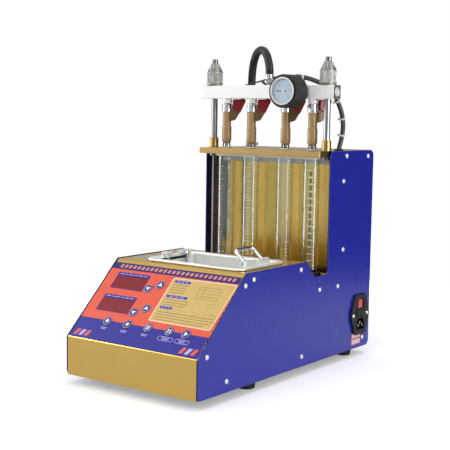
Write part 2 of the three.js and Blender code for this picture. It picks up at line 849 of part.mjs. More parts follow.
// Ultrasonic driver: board on four standoffs with a coil, heat sink and capacitors
const driverWide = innerWidth - supplyWallGap - supplyWide - driverSupplyGap - driverWallGap;
const driverX = (innerWidth - driverWide) / 2 - driverWallGap;
const driver = () => {
  const board = block(driverWide, driverDeep, driverThick).translate(0, 0, driverRise);
  const standoffs = [-1, 1].flatMap((sx) => [-1, 1].map((sy) => rod(
    standoffRadius, driverRise + driverThick, wireSides,
  ).translate(sx * (driverWide / 2 - standoffInset), sy * (driverDeep / 2 - standoffInset), 0)));
  const top = driverRise + driverThick / 2;
  const coil = rod(driverWide / 6, driverWide / 6).translate(-driverWide / 5, driverDeep / 5, top);
  const sink = block(driverWide / 2, driverDeep / 6, driverWide / 5).translate(0, -driverDeep / 5, top);
  const cans = [0, 1].map((i) => rod(driverWide / 14, driverWide / 5, wireSides)
    .translate(driverWide / 5 + i * driverWide / 6, driverDeep / 5, top));
  return join(board, ...standoffs, coil, sink, ...cans);
};
put('ultrasonic_driver', driver(), 'green', machine, [driverX, driverY, sheetThickness + seam]);

// Reservoir: hollow tank whose raised block takes the drains of the four tubes
const reservoirFrontY = towerFrontY - reservoirLead;
const reservoirRearY = caseDepth - reservoirRearGap;
const reservoirDepth = reservoirRearY - reservoirFrontY;
const reservoirWidth = innerWidth - 2 * reservoirSideGap;
const drainBlockTop = wellFloor - sheetThickness - seam;
const reservoirTop = drainBlockTop - drainBlockRise;
const reservoirHeight = reservoirTop - sheetThickness - seam;
const reservoir = () => {
  const body = block(reservoirWidth, reservoirDepth, reservoirHeight)
    .translate(0, (reservoirFrontY + reservoirRearY) / 2, sheetThickness + seam);
  const collar = block(reservoirWidth, drainBlockWidth, drainBlockTop - reservoirTop + reservoirWall)
    .translate(0, bankY, reservoirTop - reservoirWall);
  const inside = block(
    reservoirWidth - 2 * reservoirWall, reservoirDepth - 2 * reservoirWall, reservoirHeight - 2 * reservoirWall,
  ).translate(0, (reservoirFrontY + reservoirRearY) / 2, sheetThickness + seam + reservoirWall);
  const drains = tubePlaces.map((x) => rod(drainRadius, drainBlockTop - reservoirTop + 2 * reservoirWall + overrun)
    .translate(x, bankY, reservoirTop - 2 * reservoirWall));
  return cut(join(body, collar), inside, ...drains);
};
put('reservoir', reservoir(), 'plastic');

// Pump: motor can and gear head on one foot
const pump = () => {
  const axisZ = pumpHeadSize / 2;
  const motor = across(polygon(pumpMotorRadius, smallSides), pumpMotorLength)
    .translate(-pumpMotorLength / 2, 0, axisZ);
  const head = block(pumpHeadLength, pumpHeadSize, pumpHeadSize).translate(pumpHeadLength / 2 - overrun, 0, 0);
  const saddle = block(pumpMotorLength, pumpMotorRadius, axisZ).translate(-pumpMotorLength / 2, 0, 0);
  const port = rod(pumpPortRadius, pumpPortLength + overrun)
    .translate(pumpHeadLength / 2, 0, pumpHeadSize - overrun);
  return join(motor, head, saddle, port);
};
const pumpX = pumpSideGap + pumpMotorLength - innerWidth / 2;
put('pump', pump(), 'satin', machine, [pumpX, caseDepth - pumpRearInset, sheetThickness + seam]);

// Slope: membrane film with recessed windows, nine buttons and the board behind
const slope = groupAt(0, 0, lipHeight);
slope.rotation.x = slopeAngle;

const buttonPlaces = Object.entries(buttonShares)
  .map(([name, [x, along]]) => [name, x * innerWidth, along * filmTop]);
const windowLeft = windowMargin - innerWidth / 2;
const windowRight = buttonPlaces[0][1] - buttonRadius - windowButtonGap;
const windowWidth = windowRight - windowLeft;
const windowX = (windowLeft + windowRight) / 2;
const film = () => {
  const height = filmTop - filmBottom;
  const sheet = upwards(rectangle(innerWidth, height), filmThickness).translate(0, filmBottom + height / 2, 0);
  const windows = windowCentres.map((along) => block(windowWidth, windowHeight, overrun)
    .translate(windowX, along, filmThickness - windowRecess));
  const holes = buttonPlaces.map(([, x, along]) => rod(
    buttonRadius + buttonGap, filmThickness + 2 * overrun, smallSides,
  ).translate(x, along, -overrun));
  return cut(asSolid(sheet), ...windows, ...holes);
};
put('control_film', film(), 'film', slope, [0, 0, seam]);

buttonPlaces.forEach(([name, x, along]) => {
  const low = seam + filmThickness + buttonProud - buttonHeight;
  put(name, rod(buttonRadius, buttonHeight), 'navy', slope, [x, along, low]);
});

const boardWide = innerWidth - boardLeftMargin - boardRightMargin;
const boardX = (boardLeftMargin - boardRightMargin) / 2;
const controlBoard = () => {
  const board = block(boardWide, boardDeep, boardThick);
  const standoffs = [-1, 1].flatMap((sx) => [-1, 1].map((sy) => rod(
    standoffRadius, boardDrop - sheetThickness - seam, wireSides,
  ).translate(sx * (boardWide / 2 - standoffInset), sy * (boardDeep / 2 - standoffInset), 0)));
  const displays = windowCentres.map((along) => block(windowWidth, windowHeight, boardDrop / 2)
    .translate(windowX - boardX, along - boardAlong, 0));
  const chip = block(boardDeep / 4, boardDeep / 4, boardDrop / 4).translate(boardWide / 4, 0, 0);
  return join(board, ...standoffs, ...displays, chip);
};
put('control_board', controlBoard(), 'green', slope, [boardX, boardAlong, -boardDrop]);

// Power inlet on the right-hand panel: flange with ears, socket with three pins, drawer and rocker bays
const inlet = groupAt(caseWidth / 2, inletY, inletZ);
const inletFace = seam + inletFlange;
const powerInlet = () => {
  const half = inletHeight / 2;
  const flange = across(outline([
    [-inletWidth / 2, -half, inletCorner],
    [inletWidth / 2, -half, inletCorner],
    [inletEarSpan / 2, -inletEarHalf, inletCorner],
    [inletEarSpan / 2, inletEarHalf, inletCorner],
    [inletWidth / 2, half, inletCorner],
    [-inletWidth / 2, half, inletCorner],
    [-inletEarSpan / 2, inletEarHalf, inletCorner],
    [-inletEarSpan / 2, -inletEarHalf, inletCorner],
  ]), inletFlange).translate(seam + inletFlange / 2, 0, 0);
  const shell = across(rectangle(inletBodyWidth, inletBodyHeight), inletBodyDepth + inletFlange)
    .translate(seam + inletFlange / 2 - inletBodyDepth / 2, 0, 0);
  const bay = (width, height, z, depth, chamfer) => across(outline([
    [-width / 2, -height / 2, 0],
    [width / 2, -height / 2, 0],
    [width / 2, height / 2 - chamfer, 0],
    [width / 2 - chamfer, height / 2, 0],
    [chamfer - width / 2, height / 2, 0],
    [-width / 2, height / 2 - chamfer, 0],
  ]), depth + overrun).translate(inletFace - depth / 2 + overrun / 2, 0, z);
  const gap = 2 * runningGap;
  const screwHoles = [-1, 1].map((side) => across(polygon(inletScrewRadius, wireSides), inletFlange + 2 * overrun)
    .translate(seam + inletFlange / 2, side * inletScrewSpacing / 2, 0));
  const hollow = cut(
    join(flange, shell),
    bay(socketWidth, socketHeight, socketZ, socketDepth, socketChamfer),
    bay(drawerWidth + gap, drawerHeight + gap, drawerZ, drawerDepth + seam, runningGap),
    bay(rockerWidth + gap, rockerHeight + gap, rockerZ, rockerPocket, runningGap),
    ...screwHoles,
  );
  const pins = [[-pinSpacing, -pinThickness], [0, pinThickness], [pinSpacing, -pinThickness]].map(([y, z]) => across(
    rectangle(pinThickness, pinWidth), pinLength + overrun,
  ).translate(inletFace - socketDepth + (pinLength - overrun) / 2, y, socketZ + z));
  return pins.reduce((sum, pin) => sum.add(asSolid(pin)), hollow);
};
put('power_inlet', powerInlet(), 'black', inlet);

// Fuse drawer with a finger notch
const fuseDrawer = () => cut(
  asSolid(across(rectangle(drawerWidth, drawerHeight), drawerDepth + drawerProud)
    .translate(inletFace + drawerProud - (drawerDepth + drawerProud) / 2, 0, 0)),
  across(polygon(drawerNotch / 2, smallSides), 2 * drawerProud)
    .translate(inletFace + drawerProud, 0, -drawerHeight / 2),
);
put('fuse_drawer', fuseDrawer(), 'black', inlet, [0, 0, drawerZ]);

// Rocker: seen from above, a shallow V with its pivot behind the face; stored switched off
const rocker = () => {
  const half = rockerWidth / 2 - rockerTrim;
  const shape = outline([
    [-rockerDepth / 2, -half * rockerTailShare],
    [rockerDepth / 2 - rockerTrim, -half, rockerCorner],
    [rockerDepth / 2 - 2 * rockerTrim, 0],
    [rockerDepth / 2 - rockerTrim, half, rockerCorner],
    [-rockerDepth / 2, half * rockerTailShare],
  ]);
  return upwards(shape, rockerHeight).translate(0, 0, -rockerHeight / 2);
};
const rockerPivot = groupAt(inletFace - rockerDepth / 2 + rockerTrim, 0, rockerZ, inlet);
rockerPivot.rotation.z = THREE.MathUtils.degToRad(rockerTilt);
put('rocker_switch', rocker(), 'red', rockerPivot);

// Test tubes between the lower gasket in the well and the upper gasket under the plate
const tubeBottom = wellFloor + seam + gasketThickness - gasketSeat + seam;
const tubeTop = plateBottom - 2 * seam - upperGasketThickness;
const bank = groupAt(0, bankY, 0);
tubePlaces.forEach((x, i) => {
  put(`test_tube_${i + 1}`, ring(tubeRadius, tubeRadius - tubeWall, tubeTop - tubeBottom, roundSides),
    'glass', bank, [x, 0, tubeBottom]);
});

const gasketLength = tubePlaces[tubePlaces.length - 1] - tubePlaces[0] + 2 * gasketEnd;
const lowerGasket = () => {
  const strip = upwards(rectangle(gasketLength, gasketWidth, gasketWidth / 2 - seam), gasketThickness);
  const bores = tubePlaces.flatMap((x) => [
    rod(drainRadius, gasketThickness + 2 * overrun).translate(x, 0, -overrun),
    rod(tubeRadius + runningGap, gasketSeat + overrun, roundSides).translate(x, 0, gasketThickness - gasketSeat),
  ]);
  return cut(asSolid(strip), ...bores);
};
put('tube_gasket', lowerGasket(), 'rubber', bank, [0, 0, wellFloor + seam]);

const upperGasket = () => cut(
  asSolid(upwards(rectangle(gasketLength, upperGasketWidth, upperGasketWidth / 2 - seam), upperGasketThickness)),
  ...tubePlaces.map((x) => rod(nozzleHole, upperGasketThickness + 2 * overrun).translate(x, 0, -overrun)),
);
put('plate_gasket', upperGasket(), 'rubber', bank, [0, 0, plateBottom - seam - upperGasketThickness]);

// Injector, standing on the plate: white seat, pronged nose, moulded shell with its connector arm,
// turned collar and the spigot that seals in the rail
const noseTop = seam + seatHeight + prongHeight;
const turnOf = (i) => THREE.MathUtils.degToRad(i === tubePlaces.length - 1 ? lastArmTurn : armTurn);
const sideways = (shares, reach, base, rise, width) => through(
  outline(shares.map(([out, up]) => [out * reach, base + up * rise])), width,
);
const injector = (i) => {
  const nose = turned([
    [0, -nozzleReach],
    [nozzleRadius, -nozzleReach],
    [nozzleRadius, seam],
    [seatRadius, seam],
    [seatRadius, seam + seatHeight],
    [nozzleRadius, seam + seatHeight],
    [nozzleRadius, noseTop - seam],
    [injectorWideRadius - injectorTaper, noseTop],
    [injectorWideRadius, noseTop + injectorTaper],
    [injectorWideRadius, injectorWideTop - injectorShoulder],
    [injectorNarrowRadius, injectorWideTop],
    [injectorNarrowRadius, injectorNarrowTop - injectorGroove],
    [injectorCollarRadius - injectorGroove, injectorNarrowTop],
    [injectorCollarRadius, injectorNarrowTop + injectorGroove],
    [injectorCollarRadius, injectorCollarTop],
    [injectorSpigotRadius, injectorCollarTop + injectorGroove],
    [injectorSpigotRadius, injectorSpigotTop],
    [0, injectorSpigotTop],
  ], smallSides);
  const prongLean = Math.atan2(prongFootRadius - prongTopRadius, prongHeight);
  const prongs = Array.from({ length: prongCount }, (_, k) => block(
    prongThickness, prongThickness, prongHeight + injectorTaper,
  ).rotateY(-prongLean)
    .translate(prongFootRadius, 0, seatHeight)
    .rotateZ(((k + 0.5) * 2 * Math.PI) / prongCount));
  const arm = sideways(armShares, armReach, armBase, armRise, armWidth).rotateZ(turnOf(i));
  return join(nose, ...prongs, arm);
};
tubePlaces.forEach((x, i) => {
  put(`injector_${i + 1}`, injector(i), 'tan', bank, [x, 0, plateTop]);
});

// Wiring harness: a trunk from the plate up behind the rail, with a branch and a plug for each injector.
// Past the third branch the trunk holds only the wires of the first two.
const bankTop = groupAt(0, bankY, plateTop);
const trunkRoute = trunkPoints.map(([x, y, z]) => [(x * postX) / trunkPostX, y, z]);
const harness = () => {
  const exit = [grommetX, grommetSetback, seam - plateThickness];
  const trunk = cord([exit, ...trunkRoute.slice(0, trunkThins + 1)], trunkRadius, wireSides, trunkSteps);
  const farTrunk = cord(trunkRoute.slice(trunkThins - 1), farTrunkRadius, wireSides, farTrunkSteps);
  const plugs = tubePlaces.map((x, i) => sideways(plugShares, plugReach, plugBase, plugRise, plugWidth)
    .rotateZ(turnOf(i))
    .translate(x, 0, 0));
  const branches = tubePlaces.map((x, i) => {
    const { lead, meets } = branchRoutes[i];
    const route = lead.map(([out, y, z]) => [x + out, y, z]);
    const foot = [route[0][0], route[0][1], plugBase + plugRise - overrun];
    return cord([foot, ...route, trunkRoute[meets]], branchRadius, wireSides, branchSteps);
  });
  return join(trunk, farTrunk, ...plugs, ...branches);
};
put('injector_harness', harness(), 'black', bankTop);

// Rail: bar with a cup for each injector, sliding on the posts
const rail = groupAt(0, bankY, railBottom);
const railBar = () => {
  const bar = block(railLength, railSize, railSize);
  const cups = tubePlaces.map((x) => rod(cupRadius, cupHeight + overrun).translate(x, 0, -cupHeight));
  const spigotBore = injectorSpigotRadius + runningGap;
  const bores = [
    ...tubePlaces.map((x) => rod(spigotBore, cupHeight + cupWall + overrun).translate(x, 0, -cupHeight - overrun)),
    ...[-postX, postX].map((x) => rod(postRadius + runningGap, railSize + 2 * overrun).translate(x, 0, -overrun)),
    ...[-1, 1].map((side) => across(polygon(railPlugRadius), 2 * railPlugDepth)
      .translate(side * railLength / 2, 0, railSize / 2)),
  ];
  return cut(join(bar, ...cups), ...bores);
};
put('rail', railBar(), 'aluminium', rail);

// Clamps: hollow body with a fluted cone and three jaws, and a grip sleeve that turns on it
const clampBody = () => {
  const sleeveInner = clampRadius - sleeveWall;
  const shoulder = clampBase + sleeveHeight + 2 * seam;
  const top = shoulder + coneHeight;
  const body = turned([
    [0, 0],
    [clampRadius, 0],
    [clampRadius, clampBase],
    [sleeveInner - runningGap, clampBase],
    [sleeveInner - runningGap, shoulder],
    [clampRadius - seam, shoulder],
    [coneTopRadius, top],
    [jawRadius, top],
    [jawRadius, top + jawHeight - jawSlot],
    [jawRadius - jawSlot / 2, top + jawHeight],
    [0, top + jawHeight],
  ], roundSides);
  const bore = rod(postRadius + runningGap, postTop - railTop + clampHead).translate(0, 0, -seam);
  const slots = Array.from({ length: 3 }, (_, i) => block(2 * jawRadius, jawSlot, jawHeight + overrun)
    .translate(jawRadius, 0, top)
    .rotateZ((i * 2 * Math.PI) / 3));
  const lean = Math.atan2(clampRadius - coneTopRadius, coneHeight);
  const flutes = Array.from({ length: coneFlutes }, (_, i) => rod(coneFluteRadius, coneFluteLength, wireSides)
    .rotateY(-lean)
    .translate(clampRadius + coneFluteRadius / 2, 0, shoulder + clampBase)
    .rotateZ(((i + 0.5) * 2 * Math.PI) / coneFlutes));
  return cut(asSolid(body), bore, ...slots, ...flutes);
};

const clampSleeve = () => {
  const points = Array.from({ length: 2 * sleeveRibs }, (_, i) => {
    const radius = clampRadius - (i % 2) * sleeveRibDepth;
    const turn = (i * Math.PI) / sleeveRibs;
    return new THREE.Vector2(radius * Math.cos(turn), radius * Math.sin(turn));
  });
  const shape = new THREE.Shape(points);
  shape.holes.push(polygon(clampRadius - sleeveWall, roundSides));
  return upwards(shape, sleeveHeight);
};
[['left', -postX], ['right', postX]].forEach(([side, x]) => {
  const clamp = groupAt(x, 0, railSize + seam, rail);
  put(`clamp_${side}`, clampBody(), 'satin', clamp);
  put(`clamp_sleeve_${side}`, clampSleeve(), 'satin', clamp, [0, 0, clampBase + seam]);
});

// Gauge: built facing up, then turned to face the front of the machine
const gauge = groupAt(gaugeX, -railSize / 2, railSize / 2, rail);
gauge.rotation.x = Math.PI / 2;
const bootInner = bootRadius - bootWall;
const caseRadius = bootInner - runningGap;
const caseBack = seam + bootRearWall + seam;
const caseFront = gaugeReach + bezelReach;
const lipBack = gaugeReach - bootLipDepth;
const boot = () => {
  const ribTop = gaugeReach - bootLip * 3;
  const cup = turned([
    [stemRadius + runningGap, seam],
    [bootRearRadius, seam],
    [bootRadius, caseBack + bootRearWall],
    [bootRadius, gaugeReach - bootLip],
    [bootRadius - bootLip / 2, gaugeReach],
    [bezelRadius + runningGap, gaugeReach],
    [bezelRadius + runningGap, lipBack],
    [bootInner, lipBack],
    [bootInner, caseBack - seam],
    [stemRadius + runningGap, caseBack - seam],
    [stemRadius + runningGap, seam],
  ], 2 * bootRibs);
  const ribWidth = (2 * Math.PI * bootRadius) / bootRibs;
  const grooves = Array.from({ length: bootRibs }, (_, i) => block(
    bootRibDepth, ribWidth * bootRibWidthShare, ribTop - caseBack - bootRearWall,
  ).translate(bootRadius, 0, caseBack + bootRearWall).rotateZ((i * 2 * Math.PI) / bootRibs));
  return cut(asSolid(cup), ...grooves);
};
put('gauge_boot', boot(), 'rubber', gauge);

const gaugeCase = () => {
  const floor = caseFront - dialDepth;
  const dialRadius = bezelRadius - bezelWidth;
  return turned([
    [0, seam],
    [stemRadius, seam],
    [stemRadius, caseBack],
    [caseRadius, caseBack],
    [caseRadius, lipBack - seam],
    [bezelRadius, lipBack - seam],
    [bezelRadius, caseFront - bezelWidth / 2],
    [bezelRadius - bezelWidth / 2, caseFront],
    [dialRadius, caseFront],
    [dialRadius, floor],
    [0, floor],
  ], roundSides);
};
put('gauge_case', gaugeCase(), 'white', gauge);

const needle = () => join(
  block(needleLength + needleTail, needleWidth, needleThickness)
    .translate(-(needleLength - needleTail) / 2, 0, 2 * seam),
  rod(hubRadius, hubHeight).translate(0, 0, seam),
);
put('gauge_needle', needle(), 'black', gauge, [0, 0, caseFront - dialDepth]);

put('gauge_lens', rod(bezelRadius - bezelWidth - seam, lensThickness, roundSides),
  'glass', gauge, [0, 0, caseFront - lensSetback - lensThickness]);

// Fuel hose: fitting on the rail, a free arch, and the outlet on the plate
const hoseFitting = () => turned([
  [0, 0],
  [neckRadius, 0],
  [neckRadius, neckHeight],
  [elbowRadius, neckHeight],
  [elbowRadius, neckHeight + elbowHeight],
  [ferruleRadius, neckHeight + elbowHeight],
  [ferruleRadius, neckHeight + elbowHeight + ferruleHeight / 3],
  [ferruleRadius - ferruleGroove, neckHeight + elbowHeight + ferruleHeight / 2],
  [ferruleRadius, neckHeight + elbowHeight + ferruleHeight * 2 / 3],
  [ferruleRadius, neckHeight + elbowHeight + ferruleHeight],
  [0, neckHeight + elbowHeight + ferruleHeight],
], smallSides);
put('hose_fitting', hoseFitting(), 'brass', rail, [0, 0, railSize + seam]);

const hoseOutlet = () => join(
  turned([
    [0, -plateThickness / 2],
    [hoseRadius - 2 * runningGap, -plateThickness / 2],
    [hoseRadius - 2 * runningGap, seam],
    [outletFlange, seam],
    [outletFlange, seam + outletFlangeHeight],
    [outletClampRadius, seam + outletFlangeHeight],
    [outletClampRadius, seam + outletFlangeHeight + outletClampHeight],
    [0, seam + outletFlangeHeight + outletClampHeight],
  ], smallSides),
  across(polygon(outletScrewRadius, wireSides), outletScrewLength)
    .translate(outletClampRadius + outletScrewLength / 2 - seam, 0, seam + outletFlangeHeight + outletClampHeight / 2),
);
put('hose_outlet', hoseOutlet(), 'brass', machine, [hoseFootX, hoseFootY, plateTop]);

const hoseStart = [hoseFootX, hoseFootSetback, 2 * seam + outletFlangeHeight + outletClampHeight];
const hoseEnd = [0, 0, railRise + railSize + neckHeight + elbowHeight + ferruleHeight + 2 * seam];
put('fuel_hose', cord([hoseStart, ...hosePoints, hoseEnd], hoseRadius, cordSides, hoseSteps), 'rubber', bankTop);

export default part;
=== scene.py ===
# Fuel injector cleaner and tester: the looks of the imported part, in metres, on the part's own frame.
# Shapes are drawn in millimetres from the case's lower front edge, as on a workshop drawing.
# They are placed in the frame as they become objects.
import math

import bmesh
import bpy
from mathutils import Matrix, Vector
from mathutils.geometry import tessellate_polygon


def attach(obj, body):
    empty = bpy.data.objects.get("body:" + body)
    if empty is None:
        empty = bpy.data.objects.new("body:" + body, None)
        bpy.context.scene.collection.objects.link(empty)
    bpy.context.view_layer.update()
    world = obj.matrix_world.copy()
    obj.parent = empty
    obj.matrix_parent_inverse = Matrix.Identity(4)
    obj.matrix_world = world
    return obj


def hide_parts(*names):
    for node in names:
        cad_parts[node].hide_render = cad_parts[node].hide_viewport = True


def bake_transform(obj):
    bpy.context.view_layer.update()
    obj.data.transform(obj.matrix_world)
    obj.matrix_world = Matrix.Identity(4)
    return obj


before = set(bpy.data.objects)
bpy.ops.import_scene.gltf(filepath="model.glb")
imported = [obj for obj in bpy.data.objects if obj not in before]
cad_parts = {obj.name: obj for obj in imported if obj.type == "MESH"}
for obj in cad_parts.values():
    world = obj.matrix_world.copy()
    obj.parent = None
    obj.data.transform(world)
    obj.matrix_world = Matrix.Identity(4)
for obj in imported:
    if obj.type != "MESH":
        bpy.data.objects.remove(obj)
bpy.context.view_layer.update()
small = Matrix.Diagonal((0.001, 0.001, 0.001, 1))
toFrame = Matrix.Translation((0, -0.2075, 0.012)) @ small
print("frame loaded:", len(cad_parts), "nodes")


def linked(name, data):
    made = bpy.data.objects.new(name, data)
    bpy.context.scene.collection.objects.link(made)
    return made


# Camera: solved from the case's edges in the photograph
cameraLook = {"place": (0.8311, -1.1442, 0.3460), "azimuth": 36.28, "elevation": 5.97, "roll": 0.90,
              "lens": 82.6, "sensor": 36.0}


def makeCamera(look):
    azimuth, elevation, roll = (math.radians(look[key]) for key in ("azimuth", "elevation", "roll"))
    back = Vector((math.sin(azimuth) * math.cos(elevation), -math.cos(azimuth) * math.cos(elevation),
                   math.sin(elevation)))
    right = Vector((math.cos(azimuth), math.sin(azimuth), 0))
    up = back.cross(right)
    right, up = math.cos(roll) * right + math.sin(roll) * up, math.cos(roll) * up - math.sin(roll) * right
    data = bpy.data.cameras.new("camera")
    data.lens = look["lens"]
    data.sensor_width = look["sensor"]
    camera = linked("camera", data)
    camera.matrix_world = Matrix.Translation(look["place"]) @ Matrix((right, up, back)).transposed().to_4x4()
    bpy.context.scene.camera = camera


makeCamera(cameraLook)


# Nodes and finishes

def toLinear(text):
    parts = [int(text[i:i + 2], 16) / 255 for i in (1, 3, 5)]
    return [p / 12.92 if p <= 0.04045 else ((p + 0.055) / 1.055) ** 2.4 for p in parts] + [1.0]


def addNode(tree, kind, inputs=None, **settings):
    node = tree.nodes.new(kind)
    for name, value in settings.items():
        setattr(node, name, value)
    for name, value in (inputs or {}).items():
        if isinstance(value, bpy.types.NodeSocket):
            tree.links.new(value, node.inputs[name])
        else:
            node.inputs[name].default_value = value
    return node


def blank(name, stretch=(1, 1, 1)):
    # an empty material, its nodes, and the place on the object
    made = bpy.data.materials.new(name)
    made.use_nodes = True
    tree = made.node_tree
    tree.nodes.clear()
    where = addNode(tree, "ShaderNodeTexCoord").outputs["Object"]
    place = addNode(tree, "ShaderNodeMapping", {"Vector": where, "Scale": stretch}).outputs["Vector"]
    return made, tree, place


def finishOf(name, colour, second, grain, rough, bump=0.0, bumpGrain=1.0, metallic=0.0, share=0.5,
             stretch=(1, 1, 1), coat=0.0, specular=0.5, speck=None):
    # Two close tones in soft patches of a real size in millimetres, with roughness and relief of their own
    made, tree, place = blank(name, stretch)
    patches = addNode(tree, "ShaderNodeTexNoise", {
        "Vector": place, "Scale": 1000 / grain, "Detail": 4.0, "Roughness": 0.55}).outputs["Fac"]
    ramp = addNode(tree, "ShaderNodeMapRange", {
        "Value": patches, "From Min": 0.35, "From Max": 0.65, "To Min": 0.0,
        "To Max": share}).outputs["Result"]
    tone = addNode(tree, "ShaderNodeMix", {0: ramp, 6: toLinear(colour), 7: toLinear(second)},
                   data_type="RGBA").outputs[2]
    if speck:
        # fibres that show as scattered dots of another tone
        dotGrain, dotSize, dotShare, dotColour = speck
        dots = addNode(tree, "ShaderNodeTexVoronoi", {"Vector": place, "Scale": 1000 / dotGrain})
        mask = addNode(tree, "ShaderNodeMapRange", {
            "Value": dots.outputs["Distance"], "From Min": dotSize, "From Max": dotSize * 0.5,
            "To Min": 0.0, "To Max": dotShare}).outputs["Result"]
        tone = addNode(tree, "ShaderNodeMix", {0: mask, 6: tone, 7: toLinear(dotColour)},
                       data_type="RGBA").outputs[2]
    gloss = addNode(tree, "ShaderNodeMapRange", {
        "Value": patches, "From Min": 0.3, "From Max": 0.7, "To Min": rough[0], "To Max": rough[1]})
    inputs = {"Base Color": tone, "Roughness": gloss.outputs["Result"], "Metallic": metallic,
              "Coat Weight": coat, "Coat Roughness": 0.12}
    if metallic < 0.5:
        inputs["Specular IOR Level"] = specular
    if bump:
        relief = addNode(tree, "ShaderNodeTexNoise", {
            "Vector": place, "Scale": 1000 / bumpGrain, "Detail": 3.0}).outputs["Fac"]
        inputs["Normal"] = addNode(tree, "ShaderNodeBump", {
            "Strength": bump, "Distance": bumpGrain / 4000, "Height": relief}).outputs["Normal"]
    shader = addNode(tree, "ShaderNodeBsdfPrincipled", inputs)
    addNode(tree, "ShaderNodeOutputMaterial", {"Surface": shader.outputs["BSDF"]})
    return made


def glassOf(name, colour, rough, ior):
    # Clear borosilicate or window glass: drawn and fire-polished, with faint draw lines along its length
    made, tree, place = blank(name, (1, 1, 0.05))
    lines = addNode(tree, "ShaderNodeTexNoise",
                    {"Vector": place, "Scale": 220.0, "Detail": 2.0}).outputs["Fac"]
    tilt = addNode(tree, "ShaderNodeBump", {"Strength": 0.06, "Distance": 0.0003, "Height": lines})
    shader = addNode(tree, "ShaderNodeBsdfPrincipled", {
        "Base Color": toLinear(colour), "Roughness": rough, "IOR": ior, "Transmission Weight": 1.0,
        "Normal": tilt.outputs["Normal"]})
    addNode(tree, "ShaderNodeOutputMaterial", {"Surface": shader.outputs["BSDF"]})
    return made


